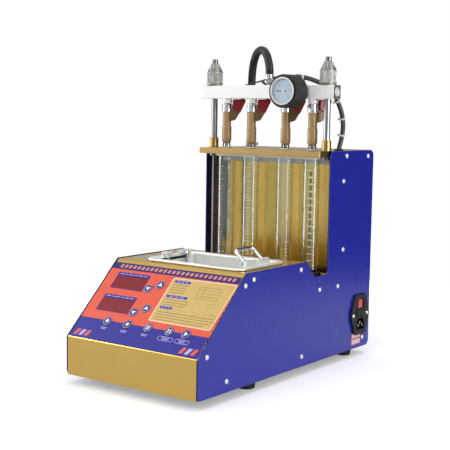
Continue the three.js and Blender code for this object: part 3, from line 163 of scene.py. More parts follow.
# In each row: the material's name, its two tones, the size of their patches, the roughness, then the relief's
# strength and size, and how metallic it is. The rest is named.
drawn = (1, 1, 0.08)
finishes = {
    # powder-coated steel sheet: even violet-blue with a fine orange-peel skin
    "blueCoat": finishOf("powder_coated_steel", "#1B26AA", "#1E2AB0", 30, (0.24, 0.28), 0.03, 1.2),
    # the same coat on the sheets' edges and inner faces, darker and less glossy: painted shade
    "blueInner": finishOf("powder_coat_overspray", "#171845", "#1C1D50", 20, (0.6, 0.7), 0.1, 1.2,
                          specular=0.12),
    # gold-anodised aluminium sheet, rolled: even in tone, with a soft mirror
    "goldSheet": finishOf("gold_anodised_sheet", "#C2A25A", "#BC9B53", 40, (0.2, 0.24), 0.006, 0.9, 1.0, 0.4),
    # gold-anodised aluminium plate, milled: a little darker, finer in grain
    "goldPlate": finishOf("gold_anodised_plate", "#AA8F5C", "#9E8350", 30, (0.26, 0.32), 0.02, 0.6, 1.0, 0.4),
    # hot-dip galvanised sheet: spangle of a few millimetres
    "zinc": finishOf("galvanised_steel", "#A3A7AA", "#8A8F93", 7, (0.32, 0.55), 0.05, 3, 1.0, 0.8),
    # moulded nitrile rubber: dull black with a dusty bloom
    "rubber": finishOf("moulded_rubber", "#161617", "#232324", 3, (0.6, 0.78), 0.15, 0.5, specular=0.35),
    # hard chrome or polished stainless steel: near mirror, hairline draw marks along Z
    "chrome": finishOf("polished_steel", "#C2C4C7", "#B4B6BA", 3, (0.08, 0.16), 0.02, 0.5, 1.0,
                       stretch=drawn),
    # centreless-ground steel rod: greyer, with a fine satin
    "groundSteel": finishOf("ground_steel", "#888A8D", "#7E8083", 3, (0.28, 0.34), 0.02, 0.5, 1.0,
                            stretch=drawn),
    # pressed stainless pan, bright but scuffed by baskets
    "basinSteel": finishOf("pressed_stainless", "#F1F2EF", "#ECEDEA", 30, (0.25, 0.27), metallic=0.4),
    # turned brass, lacquered: lathe lines run round, too fine to show, so they are a faint grain along Z
    "brass": finishOf("turned_brass", "#9A824E", "#907844", 2, (0.28, 0.34), 0.03, 0.4, 1.0,
                      stretch=(1, 1, 6)),
    # nickel-plated zinc casting: satin grey
    "satin": finishOf("satin_nickel", "#777873", "#6E6F6A", 2, (0.45, 0.52), 0.04, 0.5, 0.8),
    # the same casting in a lighter tone, on the knurled sleeves
    "satinPale": finishOf("satin_nickel_bright", "#A0A19C", "#969792", 2, (0.55, 0.62), 0.04, 0.5, 0.7),
    # the jaws and the injectors' prongs: blackened steel; on the posts' heads under the plate the same dark
    # tone is painted shade
    "darkSteel": finishOf("blackened_steel", "#6A6B6C", "#5C5D5E", 2, (0.28, 0.38), 0.04, 0.4, 1.0),
    # silver-anodised extruded aluminium, bead-blasted: pale, almost white, very fine grain
    "aluminium": finishOf("silver_anodised_bar", "#F5F6F6", "#F0F2F2", 10, (0.4, 0.46), 0.02, 0.35, 0.15,
                          stretch=(0.15, 1, 1)),
    # glass-filled nylon, injection moulded: tan with pale fibre specks
    "tanShell": finishOf("glass_filled_nylon", "#AE8F60", "#A28354", 3, (0.3, 0.38), 0.06, 0.4,
                         speck=(0.9, 0.3, 0.2, "#B99C6E")),
    # the same nylon where the connector arm is, a browner batch
    "tanArm": finishOf("glass_filled_nylon_brown", "#6E5428", "#5E4722", 3, (0.3, 0.4), 0.06, 0.4,
                       speck=(0.9, 0.3, 0.15, "#8A6C3A")),
    # dyed PBT connector, moulded: deep red, slightly glossy
    "redPlug": finishOf("dyed_connector_plastic", "#8C0E20", "#78101C", 3, (0.26, 0.36), 0.04, 0.4, coat=0.1),
    # moulded ABS: black, spark-eroded texture
    "blackPlastic": finishOf("moulded_black_plastic", "#131415", "#1A1B1C", 3, (0.5, 0.6), 0.12, 0.35,
                             specular=0.3),
    # red moulded rocker
    "redPlastic": finishOf("moulded_red_plastic", "#E2262A", "#D42024", 4, (0.25, 0.34), 0.03, 0.5, coat=0.3),
    # opal silicone and frosted acrylic: pale grey; on the cover's hems the same pale grey is a painted
    # highlight
    "opal": finishOf("opal_silicone", "#F0F1EF", "#E6E8E5", 5, (0.34, 0.44), 0.03, 0.8),
    # white PTFE seats and nylon ties: milky
    "whiteNylon": finishOf("milky_nylon", "#EDEDE8", "#DDDDD6", 3, (0.38, 0.5), 0.04, 0.5),
    # stoved white enamel on a pressed bezel
    "enamel": finishOf("white_enamel", "#F1F2F1", "#E8E9E8", 6, (0.2, 0.28), 0.02, 0.8, coat=0.2),
    # printed gauge dial, pale blue and matt, and its ink
    "dialPaper": finishOf("printed_dial", "#C9DBEC", "#BFD2E6", 6, (0.55, 0.65), 0.02, 0.3),
    "dialInk": finishOf("dial_ink", "#5C7390", "#4F6682", 1, (0.5, 0.6), 0.02, 0.2),
    # fuel hose: extruded nitrile with a cloth-marked skin and a soft sheen
    "hose": finishOf("extruded_fuel_hose", "#131416", "#1A1B1E", 2, (0.46, 0.56), 0.08, 0.4,
                     stretch=(1, 1, 0.4), specular=0.25),
    # harness sleeve: soft PVC, black
    "cable": finishOf("cable_sleeve", "#141416", "#1E1E21", 2, (0.42, 0.55), 0.1, 0.4),
    # glass-epoxy board with solder mask: green, with the copper's relief
    "board": finishOf("solder_mask_board", "#1F5B38", "#17472B", 5, (0.3, 0.45), 0.2, 2, share=0.9, coat=0.3),
    # natural polyethylene tank
    "tank": finishOf("natural_polyethylene", "#DADCD6", "#CBCDC6", 14, (0.42, 0.55), 0.05, 2),
    # printed polyester film, in its several inks: matt top coat with a very fine texture
    "inkNavy": finishOf("film_ink_navy", "#1D1A66", "#221F70", 12, (0.36, 0.42), 0.05, 0.3, specular=0.28),
    "inkBlue": finishOf("film_ink_blue", "#22238F", "#202185", 14, (0.36, 0.42), 0.05, 0.3, specular=0.28),
    "inkOrange": finishOf("film_ink_orange", "#E55C43", "#DD553D", 16, (0.36, 0.42), 0.05, 0.3,
                          specular=0.35),
    "inkLavender": finishOf("film_ink_lavender", "#BDB3E4", "#B1A6DA", 8, (0.36, 0.42), 0.04, 0.3),
    "inkYellow": finishOf("film_ink_yellow", "#D2B268", "#CAA85C", 12, (0.36, 0.42), 0.04, 0.3),
    "inkCream": finishOf("film_ink_cream", "#F4E6C8", "#EDDDBB", 8, (0.36, 0.42), 0.04, 0.3),
    "inkOlive": finishOf("film_ink_olive", "#8F7B4A", "#85713F", 6, (0.4, 0.46), 0.04, 0.3),
    "inkPink": finishOf("film_ink_pink", "#DB8C7E", "#D38274", 6, (0.4, 0.46), 0.04, 0.3),
    # printed paper label: a red ground and pale pink fields
    "labelRed": finishOf("label_red", "#DB3E5C", "#CF3652", 5, (0.4, 0.46), 0.02, 0.3),
    "labelPink": finishOf("label_pink", "#FADCE2", "#F4CDD5", 5, (0.4, 0.46), 0.02, 0.3),
    # tinted acrylic over an unlit display
    "displayRed": finishOf("tinted_display_window", "#8A171B", "#7E1519", 10, (0.24, 0.3), 0.02, 1,
                           specular=0.2),
    "displayDark": finishOf("unlit_segments", "#6A151B", "#701920", 5, (0.2, 0.26), 0.02, 1),
    # brown ink of the printed dashes on a tube
    "scaleInk": finishOf("brown_scale_ink", "#5C4B27", "#524322", 3, (0.4, 0.46), 0.02, 0.3),
    # the sheet behind the tubes' sides, dark grey: painted shade inside the tower
    "shadeGrey": finishOf("grey_primer", "#5C5C64", "#54545C", 8, (0.45, 0.55), 0.03, 1, specular=0.3),
    # borosilicate test tube
    "glass": glassOf("borosilicate_glass", "#F4FBFA", 0.01, 1.47),
    # flat gauge glass
    "lens": glassOf("gauge_glass", "#FFFFFF", 0.0, 1.5),
}
print("finishes made:", len(finishes))


# Flat drawings, in millimetres

def arcs(corners, steps=8):
    # a corner is (x, y) or (x, y, radius)
    points = []
    for i, corner in enumerate(corners):
        here = Vector(corner[:2])
        radius = corner[2] if len(corner) > 2 else 0
        if radius <= 0:
            points.append(here)
            continue
        back = (Vector(corners[i - 1][:2]) - here).normalized()
        on = (Vector(corners[(i + 1) % len(corners)][:2]) - here).normalized()
        half = math.acos(max(-1.0, min(1.0, back.dot(on)))) / 2
        centre = here + (back + on).normalized() * (radius / math.sin(half))
        start = here + back * (radius / math.tan(half)) - centre
        end = here + on * (radius / math.tan(half)) - centre
        turn = math.atan2(start.x * end.y - start.y * end.x, start.dot(end))
        points += [centre + Matrix.Rotation(turn * k / steps, 2) @ start for k in range(steps + 1)]
    return points


def box2(width, height, radius=0.0, x=0.0, y=0.0, steps=6):
    w, h = width / 2, height / 2
    return arcs([(x + sx * w, y + sy * h, radius) for sx, sy in ((-1, -1), (1, -1), (1, 1), (-1, 1))], steps)


def disc2(radius, x=0.0, y=0.0, sides=32):
    turns = [2 * math.pi * i / sides for i in range(sides)]
    return [Vector((x + radius * math.cos(turn), y + radius * math.sin(turn))) for turn in turns]


def sweep2(radius, start, end, steps):
    # points of a round line, from one angle in degrees to another
    angles = [math.radians(start + (end - start) * k / steps) for k in range(steps + 1)]
    return [Vector((radius * math.cos(angle), radius * math.sin(angle))) for angle in angles]


def area2(loop):
    return sum(a.x * b.y - b.x * a.y for a, b in zip(loop, loop[1:] + loop[:1])) / 2


def shifted(loop, amount):
    # moves an outline to its left
    result = []
    for i, here in enumerate(loop):
        a = (here - loop[i - 1]).normalized()
        b = (loop[(i + 1) % len(loop)] - here).normalized()
        first = Vector((-a.y, a.x))
        mean = (first + Vector((-b.y, b.x))).normalized()
        result.append(here + mean * (amount / max(0.3, mean.dot(first))))
    return result


# Shells in millimetres: each is one closed mesh

def skinned(mesh, rings, closed=False):
    # faces between neighbouring rings; a ring of one point makes triangles
    sides = max(len(ring) for ring in rings)
    for lower, upper in zip(rings, rings[1:] + rings[:1 if closed else 0]):
        for i in range(sides):
            j = (i + 1) % sides
            low = lower[i % len(lower)], lower[j % len(lower)]
            high = upper[j % len(upper)], upper[i % len(upper)]
            corners = list(dict.fromkeys(low + high))
            if len(corners) > 2:
                mesh.faces.new(corners)


def turnOut(mesh, finish=0):
    bmesh.ops.remove_doubles(mesh, verts=mesh.verts, dist=1e-5)
    bmesh.ops.recalc_face_normals(mesh, faces=mesh.faces)
    for face in mesh.faces:
        face.material_index = finish
    return mesh


def slab(outline, low, high, soft=0.3, holes=(), finish=0, steps=2):
    # an outline raised from low to high, with rounded edges
    mesh = bmesh.new()
    loops = [outline if area2(outline) > 0 else outline[::-1]]
    loops += [hole[::-1] if area2(hole) > 0 else hole for hole in holes]
    quarter = [math.pi / 2 * k / steps for k in range(steps + 1)] if soft else [math.pi / 2]
    stations = [(soft * (1 - math.sin(t)), low + soft * (1 - math.cos(t))) for t in quarter]
    stations += [(inset, high + low - z) for inset, z in reversed(stations)]
    stacks = [[[mesh.verts.new((*p, z)) for p in shifted(loop, inset)] for inset, z in stations]
              for loop in loops]
    for rings in stacks:
        skinned(mesh, rings)
    for end in (0, -1):
        flat = [rings[end] for rings in stacks]
        every = [vert for ring in flat for vert in ring]
        if len(flat) == 1 and len(flat[0]) <= 4:
            mesh.faces.new(flat[0])
            continue
        for corner in tessellate_polygon([[vert.co for vert in ring] for ring in flat]):
            face = [every[k] for k in corner]
            if len(set(face)) == 3 and not mesh.faces.get(face):
                mesh.faces.new(face)
    return turnOut(mesh, finish)


def turned(profile, sides=64, finish=0, closed=False):
    # a profile of (radius, height, rounding), spun about Z
    mesh = bmesh.new()
    rings = [[mesh.verts.new((*p, point.y)) for p in disc2(point.x, sides=sides)] if point.x >= 1e-6
             else [mesh.verts.new((0, 0, point.y))] for point in arcs(profile, 3)]
    skinned(mesh, rings, closed)
    return turnOut(mesh, finish)


def lofted(rings, closed=False):
    # rings of equal count, capped unless they close on themselves
    mesh = bmesh.new()
    verts = [[mesh.verts.new(point) for point in ring] for ring in rings]
    skinned(mesh, verts, closed)
    if not closed:
        mesh.faces.new(verts[0])
        mesh.faces.new(verts[-1])
    return turnOut(mesh)


def swept(path, radius, sides=16, blunt=0.0):
    # a round rod along a path, its frame carried without twist
    path = [Vector(point) for point in path]
    last = len(path) - 1
    side = (path[1] - path[0]).normalized().orthogonal().normalized()
    rings = []
    for i, point in enumerate(path):
        tangent = (path[min(i + 1, last)] - path[max(i - 1, 0)]).normalized()
        side = (side - tangent * side.dot(tangent)).normalized()
        other = tangent.cross(side)
        at = [(point, radius)]
        if blunt and i == 0:
            at = [(point, radius - blunt), (point + tangent * blunt, radius)]
        if blunt and i == last:
            at = [(point - tangent * blunt, radius), (point, radius - blunt)]
        for centre, size in at:
            rings.append([centre + (side * math.cos(2 * math.pi * k / sides)
                                    + other * math.sin(2 * math.pi * k / sides)) * size
                          for k in range(sides)])
    return lofted(rings)


def between(a, b, start, end, t):
    return a * ((end - t) / (end - start)) + b * ((t - start) / (end - start))


def routed(points, perSpan=6):
    # centripetal spline through the points of a cord's route
    points = [Vector(point) for point in points]
    ends = [points[0] * 2 - points[1]] + points + [points[-1] * 2 - points[-2]]
    path = []
    for i in range(1, len(ends) - 2):
        p = ends[i - 1:i + 3]
        knots = [0.0]
        for a, b in zip(p, p[1:]):
            knots.append(knots[-1] + (b - a).length ** 0.5)
        for k in range(perSpan):
            t = knots[1] + (knots[2] - knots[1]) * k / perSpan
            a, b, c = (between(p[j], p[j + 1], knots[j], knots[j + 1], t) for j in range(3))
            d, e = between(a, b, knots[0], knots[2], t), between(b, c, knots[1], knots[3], t)
            path.append(between(d, e, knots[1], knots[2], t))
    return path + [points[-1]]


def bent(corners, steps=8):
    # straight runs joined by bends; a corner is (x, y, z, bend)
    at = [Vector(corner[:3]) for corner in corners]
    path = [at[0]]
    for i in range(1, len(at) - 1):
        into, out = (at[i] + (at[k] - at[i]).normalized() * corners[i][3] for k in (i - 1, i + 1))
        for k in range(steps + 1):
            t = k / steps
            path.append(into * (1 - t) ** 2 + at[i] * 2 * t * (1 - t) + out * t * t)
    return path + [at[-1]]


def moved(mesh, matrix):
    bmesh.ops.transform(mesh, matrix=matrix, verts=mesh.verts)
    return mesh


def painted(mesh, pick):
    for face in mesh.faces:
        face.material_index = pick(face.calc_center_median(), face.normal)
    return mesh


def shift(x, y, z):
    return Matrix.Translation((x, y, z))


def about(axis, degrees):
    return Matrix.Rotation(math.radians(degrees), 4, axis)


# Ways that a flat drawing stands: seen from the right-hand side, and seen from the front
seenFromSide = Matrix(((0, 0, 1, 0), (1, 0, 0, 0), (0, 1, 0, 0), (0, 0, 0, 1)))
seenFromFront = Matrix(((1, 0, 0, 0), (0, 0, -1, 0), (0, 1, 0, 0), (0, 0, 0, 1)))
sharpAngle = math.radians(50)


# Objects and pieces; looks are names of finishes, in the order of the shells' finish numbers

def built(name, mesh, looks):
    # a mesh as an object at the origin, smooth, with flats kept flat
    for face in mesh.faces:
        face.smooth = True
    for edge in mesh.edges:
        if len(edge.link_faces) == 2 and edge.calc_face_angle(0) > sharpAngle:
            edge.smooth = False
    data = bpy.data.meshes.new(name)
    mesh.to_mesh(data)
    mesh.free()
    for look in looks.split():
        data.materials.append(finishes[look])
    return linked(name, data)


def bare(name, shells, looks="", place=toFrame):
    # several closed shells as one object
    whole = bmesh.new()
    for shell in shells:
        part = bpy.data.meshes.new("part")
        shell.to_mesh(part)
        shell.free()
        whole.from_mesh(part)
        bpy.data.meshes.remove(part)
    moved(whole, place).normal_update()
    return built(name, whole, looks)


def meshOf(made):
    # an object's mesh as a shell; the object goes
    mesh = bmesh.new()
    mesh.from_mesh(made.data)
    bpy.data.objects.remove(made)
    return mesh


def settled(made):
    # what the modifiers make of an object, as a plain mesh
    scratch = bpy.context.evaluated_depsgraph_get()
    data = bpy.data.meshes.new_from_object(made.evaluated_get(scratch), preserve_all_data_layers=True,
                                           depsgraph=scratch)
    name, old = made.name, made.data
    bpy.data.objects.remove(made)
    if old.users == 0 and isinstance(old, bpy.types.Mesh):
        bpy.data.meshes.remove(old)
    data.name = name
    return linked(name, data)


def flattened(made):
    modifier = made.modifiers.new("flats", "WEIGHTED_NORMAL")
    modifier.keep_sharp = True
    modifier.weight = 60
    return settled(made)


def without(made, shells, place=toFrame):
    # cuts shapes out of a piece
    tools = [bare("tool", [shell], place=place) for shell in shells]
    for i, tool in enumerate(tools):
        cutter = made.modifiers.new(f"cut{i}", "BOOLEAN")
        cutter.operation = "DIFFERENCE"
        cutter.solver = "EXACT"
        cutter.object = tool
    made = settled(made)
    for tool in tools:
        bpy.data.objects.remove(tool)
    return made


def handed(made, body="case", node=None):
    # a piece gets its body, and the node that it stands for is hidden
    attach(made, body)
    if node:
        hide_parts(node)
    return made


def piece(name, shells, looks, body="case", node=None, at=Matrix()):
    return handed(flattened(bare(name, [moved(shell, at) for shell in shells], looks)), body, node)


def softened(node, name, look, body, width, segments=2):
    # a CAD node's own shape with its edges rounded
    mesh = bmesh.new()
    mesh.from_mesh(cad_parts[node].data)
    bmesh.ops.remove_doubles(mesh, verts=mesh.verts, dist=1e-6)
    bmesh.ops.dissolve_limit(mesh, angle_limit=math.radians(1), verts=mesh.verts, edges=mesh.edges)
    edges = [edge for edge in mesh.edges if len(edge.link_faces) == 2
             and edge.calc_face_angle(0) > math.radians(40)]
    bmesh.ops.bevel(mesh, geom=edges, offset=width / 1000, segments=segments, affect="EDGES", profile=0.5,
                    clamp_overlap=True)
    return handed(flattened(built(name, painted(mesh, lambda at, normal: 0), look)), body, node)


# Geometry Nodes trees for what repeats

def repeatTree(kind):
    tree = bpy.data.node_groups.new("repeat_" + kind, "GeometryNodeTree")
    sockets = {"Places": "Geometry", "Piece": "Object", "Finish": "Material", "Count": "Int",
               "Start Angle": "Float", "Step Angle": "Float", "Step": "Vector", "Stand": "Vector",
               "Spin Seed": "Int"}
    for title, sort in sockets.items():
        tree.interface.new_socket(title, in_out="INPUT", socket_type="NodeSocket" + sort)
    tree.interface.new_socket("Result", in_out="OUTPUT", socket_type="NodeSocketGeometry")
    given = addNode(tree, "NodeGroupInput").outputs
    shape = addNode(tree, "GeometryNodeObjectInfo", {"Object": given["Piece"]}).outputs["Geometry"]
    index = addNode(tree, "GeometryNodeInputIndex").outputs["Index"]
    points, rotation = given["Places"], given["Stand"]
    if kind != "places":
        step = (0, 0, 0) if kind == "ring" else given["Step"]
        points = addNode(tree, "GeometryNodeMeshLine",
                         {"Count": given["Count"], "Offset": step}).outputs["Mesh"]
    if kind == "ring":
        turn = addNode(tree, "ShaderNodeMath", {0: index, 1: given["Step Angle"], 2: given["Start Angle"]},
                       operation="MULTIPLY_ADD").outputs["Value"]
        rotation = addNode(tree, "ShaderNodeCombineXYZ", {"Z": turn}).outputs["Vector"]
    placed = addNode(tree, "GeometryNodeInstanceOnPoints", {
        "Points": points, "Instance": shape, "Rotation": rotation}).outputs["Instances"]
    if kind == "places":
        # each one is turned a little; 2 and 3 are the least and the most of the node's float sockets
        spin = addNode(tree, "FunctionNodeRandomValue",
                       {2: -1.5, 3: 1.5, "ID": index, "Seed": given["Spin Seed"]},
                       data_type="FLOAT").outputs[1]
        own = addNode(tree, "ShaderNodeCombineXYZ", {"Z": spin}).outputs["Vector"]
        placed = addNode(tree, "GeometryNodeRotateInstances",
                         {"Instances": placed, "Rotation": own}).outputs["Instances"]
    plain = addNode(tree, "GeometryNodeRealizeInstances", {"Geometry": placed}).outputs["Geometry"]
    coloured = addNode(tree, "GeometryNodeSetMaterial", {"Geometry": plain, "Material": given["Finish"]})
    addNode(tree, "NodeGroupOutput", {"Result": coloured.outputs["Geometry"]})
    return tree


repeats = {kind: repeatTree(kind) for kind in ("ring", "row", "places")}


def repeated(name, kind, shell, look, body="case", place=Matrix(), points=((0, 0, 0),), count=1,
             startAngle=0.0, stepAngle=0.0, step=(0, 0, 0), stand=(0, 0, 0), seed=1):
    # one small shape in millimetres, repeated in a ring about Z, in a row, or at given places
    shape = flattened(bare(name + "_shape", [shell], look, small))
    data = bpy.data.meshes.new(name)
    data.from_pydata([Vector(point) * 0.001 for point in points], [], [])
    host = linked(name, data)
    modifier = host.modifiers.new("repeat", "NODES")
    modifier.node_group = repeats[kind]
    values = {
        "Piece": shape, "Finish": finishes[look], "Count": count, "Start Angle": math.radians(startAngle),
        "Step Angle": math.radians(stepAngle), "Step": [x * 0.001 for x in step],
        "Stand": [math.radians(x) for x in stand], "Spin Seed": seed,
    }
    for item in repeats[kind].interface.items_tree:
        if item.name in values:
            modifier[item.identifier] = values[item.name]
    made = settled(host)
    bpy.data.objects.remove(shape)
    made.data.transform(toFrame @ place @ Matrix.Diagonal((1000, 1000, 1000, 1)))
    if not made.data.materials:
        made.data.materials.append(finishes[look])
    return handed(made, body)


# The sizes that several pieces share
case = {
    "width": 215, "depth": 415, "panel": 2, "inner": 210.4, "lip": 50, "slopeRun": 96, "deck": 142,
    "notchFront": 236, "notchFlat": 257, "notchFloor": 119, "well": 113, "towerFront": 292, "tower": 289,
    "backSheet": 326, "plateTop": 289.4, "plateBottom": 281, "bank": 297, "post": 97, "postBore": 4.8,
    "rear": 413.2,
    "basin": (15, 153.5), "hose": (-51, 326), "harness": (96.5, 332.6),
}
tubeX = [-74.01, -29.49, 29.49, 74.01]
sides = {"left": -1, "right": 1}
slopeAngle = math.degrees(math.atan2(case["deck"] - case["lip"], case["slopeRun"]))
onSlope = shift(0, 0, case["lip"]) @ about("X", slopeAngle)


def onBank(x, z=0):
    # a place in the row of posts, tubes and injectors
    return shift(x, case["bank"], z)


# Cords: the fuel hose from the tower to the rail, and the injector harness behind the rail
hoseLook = {
    "radius": 5.7,
    "route": [(-51, 326, 299.5), (-51, 326, 320), (-51, 326, 345), (-51, 326, 368), (-50.5, 325.7, 388),
              (-49, 325, 403), (-45, 322.7, 416), (-37.5, 318.5, 426.5), (-27, 312.4, 431), (-16, 306, 429),
              (-7.5, 301.2, 421.5), (-2, 298.2, 410), (0, 297, 402), (0, 297, 395.6)],
}
harnessLook = {
    "radius": 3.3,
    "farRadius": 1.2,
    "thins": 9,
    "branch": 2.0,
    "exit": (96.5, 332.6, 281.3),
    "trunk": [(96.5, 332.6, 292), (98, 335.5, 305), (100, 336, 322), (100, 332, 340), (98, 324.5, 356),
              (94, 318, 369), (86, 314.2, 379), (74, 312.7, 384), (55, 312.7, 390), (35, 312.7, 393),
              (15, 312.7, 393.5), (-5, 312.7, 391.5), (-24, 312.7, 387), (-42, 312.7, 383),
              (-55, 312.7, 380)],
    "branches": [[(-55.51, 310.6, 358), (-55.51, 310.6, 366), (-55.51, 311.5, 374), (-55, 312.7, 380)],
                 [(-10.99, 310.6, 358), (-10.99, 310.6, 366), (-12.99, 311.5, 378), (-24, 312.7, 387)],
                 [(47.99, 310.6, 358), (47.99, 310.6, 366), (46.49, 311.5, 379), (35, 312.7, 393)],
                 [(83.41, 318, 358), (83.41, 318, 366), (84.51, 316.5, 372), (86, 314.2, 379)]],
    "ties": [14, 22, 31, 56],
}


def makeHose(look):
    path = routed(look["route"])
    hose = flattened(bare("fuel_hose_rubber", [swept(path, look["radius"], 28)], "hose"))
    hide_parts("fuel_hose")
    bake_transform(hose)


def tieRound(path, index, radius):
    # a nylon tie: a flat band with its head and a cut tail
    axis = (path[index + 1] - path[index - 1]).normalized()
    side = axis.cross(Vector((0, 1, 0))).normalized()
    turn = Matrix((side, axis.cross(side), axis)).transposed().to_4x4()
    band = turned([(radius, -1.3), (radius + 1.0, -1.3, 0.3), (radius + 1.0, 1.3, 0.3), (radius, 1.3)],
                  32, closed=True)
    head = moved(slab(box2(3.6, 3.8, 0.6), 0, 2.6, 0.4), shift(radius + 0.2, 0, 0) @ about("Y", 90))
    tail = moved(slab(box2(2.2, 4, 0.3), 0, 0.9, 0.2),
                 shift(radius + 1.2, 3.2, 0) @ about("Y", 90) @ about("X", -8))
    return [moved(shell, shift(*path[index]) @ turn) for shell in (band, head, tail)]


def makeHarness(look):
    path = routed([look["exit"]] + look["trunk"][:look["thins"] + 1])
    trunk = piece("harness_trunk", [swept(path, look["radius"], 20, 0.6)], "cable",
                  node="injector_harness")
    twigs = [swept(routed(route), look["branch"], 14) for route in look["branches"]]
    twigs.append(swept(routed(look["trunk"][look["thins"] - 1:]), look["farRadius"], 12))
    branches = piece("harness_branches", twigs, "cable")
    ties = [shell for index in look["ties"] for shell in tieRound(path, index, look["radius"])]
    bands = piece("harness_ties", ties, "whiteNylon")


makeHose(hoseLook)
makeHarness(harnessLook)
print("cords laid")


# Case: side panels, folded front cover, rear cover, top plate, feet
panelLook = {"frontCorner": 6, "bend": 3, "notchCorner": 7, "rearCorner": 8, "towerCorner": 9, "edge": 0.5}
coverLook = {"half": 105.2, "thick": 1.5, "bend": 3, "wellBend": 1.6, "wellFront": 265, "top": 280.7,
             "back": 340, "opening": (144.6, 89.6, 10), "tubeHole": 8, "return": (1.5, 21.75, 0.2),
             "hemHighlight": (1.9, 2.2, 0.6)}
louvreLook = {"count": 7, "pitch": 9, "first": 60, "slot": (60, 3.5, 1.6), "hood": 2.6, "thick": 1.5}
plateLook = {"size": (207, 144.2, 1.2), "middle": 341.1, "nozzleBore": 4.2, "hoseBore": 5.75,
             "harnessBore": 3.6}
footLook = {
    "places": [(-86, 130), (86, 130), (-86, 377), (86, 377)],
    "rubber": [(0, 7), (5, 7, 0.4), (5, 0, 0.6), (11, 0, 1.5), (12.5, 11.7, 0.5), (0, 11.7)],
    "washer": [(0, 5.2), (4.6, 5.2, 0.2), (4.6, 6.2, 0.2), (0, 6.2)],
}
screwLook = {
    "places": [(17, 51), (57, 14), (94, 127), (112, 133), (222, 133), (271, 100), (320, 99), (332, 150),
               (329, 247), (336, 282), (398, 281), (228, 14), (395, 14)],
    "radius": 3.1,
    "height": 1.7,
}
inletLook = {"y": 383.5, "z": 50, "hole": (27.6, 48.6)}


def screwHead(radius, height):
    # pan head with a cross recess
    head = bare("head", [turned([(0, 0), (radius, 0, 0), (radius, height * 0.45, 0.5),
                                 (radius * 0.6, height, 0.9), (0, height)], 24)], place=Matrix())
    bars = [slab(box2(*size), height * 0.62, height + 1, 0)
            for size in ((radius * 1.15, 0.62), (0.62, radius * 1.15))]
    return meshOf(without(head, bars, Matrix()))


def makePanels(c, p):
    w = c["width"] / 2
    outline = arcs([
        (0, 0, p["frontCorner"]), (c["depth"], 0, p["rearCorner"]), (c["depth"], c["tower"], p["rearCorner"]),
        (c["towerFront"], c["tower"], p["towerCorner"]), (c["towerFront"], c["notchFloor"], p["notchCorner"]),
        (c["notchFlat"], c["notchFloor"], p["notchCorner"]), (c["notchFront"], c["deck"], p["bend"]),
        (c["slopeRun"], c["deck"], p["bend"]), (0, c["lip"], p["bend"])], 10)
    hole = box2(*inletLook["hole"], 0.5, inletLook["y"], inletLook["z"], 2)
    for side, low, holes in (("left", -w, []), ("right", w - c["panel"], [hole])):
        panel = moved(slab(outline, low, low + c["panel"], p["edge"], holes), seenFromSide)
        # the outer face keeps the blue; the inner faces and edges take the darker blue, painted shade
        panel = painted(panel, lambda at, normal: 0 if normal.x * sides[side] > 0.3 else 1)
        piece("panel_" + side, [panel], "blueCoat blueInner", node="side_panel_" + side)


def makeCover(c, look):
    half, bend, top = look["half"], look["bend"], look["top"]
    face = arcs([(0, 0), (0, c["lip"], bend), (c["slopeRun"], c["deck"], bend),
                 (c["notchFront"], c["deck"], bend), (look["wellFront"], c["well"], look["wellBend"]),
                 (c["backSheet"], c["well"], look["wellBend"]),
                 (c["backSheet"], top, bend), (look["back"], top)], 6)
    # the strip's back: the face moved into the metal, bend for bend
    outer = [Vector(corner) for corner in ((look["back"], 400), (-100, 400), (-100, 0))]
    back = shifted(face + outer, -look["thick"])[:len(face)]
    back[0].y = 0
    back[-1].x = look["back"]
    strip = bare("cover_front", [moved(slab(face + back[::-1], -half, half, 0.2), seenFromSide)], "goldSheet")
    holes = [slab(box2(*look["opening"], *c["basin"]), 130, 150, 0)]
    holes += [slab(disc2(look["tubeHole"], x, c["bank"], 40), 105, 120, 0) for x in tubeX]
    handed(flattened(without(strip, holes)), node="front_cover")
    both = (-1, 1)
    # the returns are dark grey: painted shade inside the tower
    returns = [slab(box2(*look["return"], sign * 104.45, 315.9), c["well"], 280.6, 0.2) for sign in both]
    piece("cover_returns", returns, "shadeGrey")
    # pale bars down the returns' front edges: painted highlight
    hemHighlights = [slab(box2(*look["hemHighlight"], sign * 104.2, 304.6), 113.3, 280.4, 0.4) for sign in both]
    piece("cover_hems", hemHighlights, "opal")
    # a dark strip along the left panel's edge over the slope and the deck: painted shade
    rim = arcs([(1.2, 51.1), (96, 141.95), (236, 141.95), (236, 142.75), (95.7, 142.75), (0.65, 51.75)])
    piece("panel_rim_left", [slab(rim, -105.45, -104.15, 0.1)], "blueInner", at=seenFromSide)
    # an opal strip across the top of the sheet throws light down the tubes
    piece("light_strip", [slab(box2(206, 1.3, 0.4, 0, 325.3), 269, 280.4, 0.3)], "opal")


def makeRear(c, look):
    count, pitch, first = look["count"], look["pitch"], look["first"]
    slots = [box2(*look["slot"], 0, first + pitch * i, 4) for i in range(count)]
    sheet = box2(c["inner"], c["plateTop"], 1, 0, c["plateTop"] / 2)
    rear = slab(sheet, -c["rear"], look["thick"] - c["rear"], 0.3, slots)
    piece("cover_rear", [rear], "blueCoat", node="rear_cover", at=seenFromFront)
    # pressed hoods inside the slots, one for each louvre
    reach = look["slot"][0] / 2
    hood = swept([(-reach, 0, 0), (reach, 0, 0)], look["hood"], 16, 1.2)
    bmesh.ops.bisect_plane(hood, geom=hood.verts[:] + hood.edges[:] + hood.faces[:], plane_co=(0, 0, 0),
                           plane_no=(0, 0.6, -0.8), clear_outer=True)
    bmesh.ops.holes_fill(hood, edges=[edge for edge in hood.edges if edge.is_boundary])
    repeated("louvre_hoods", "row", turnOut(hood), "blueCoat", count=count, step=(0, 0, pitch),
             place=shift(0, c["rear"] - 2.4, first + 1.4))


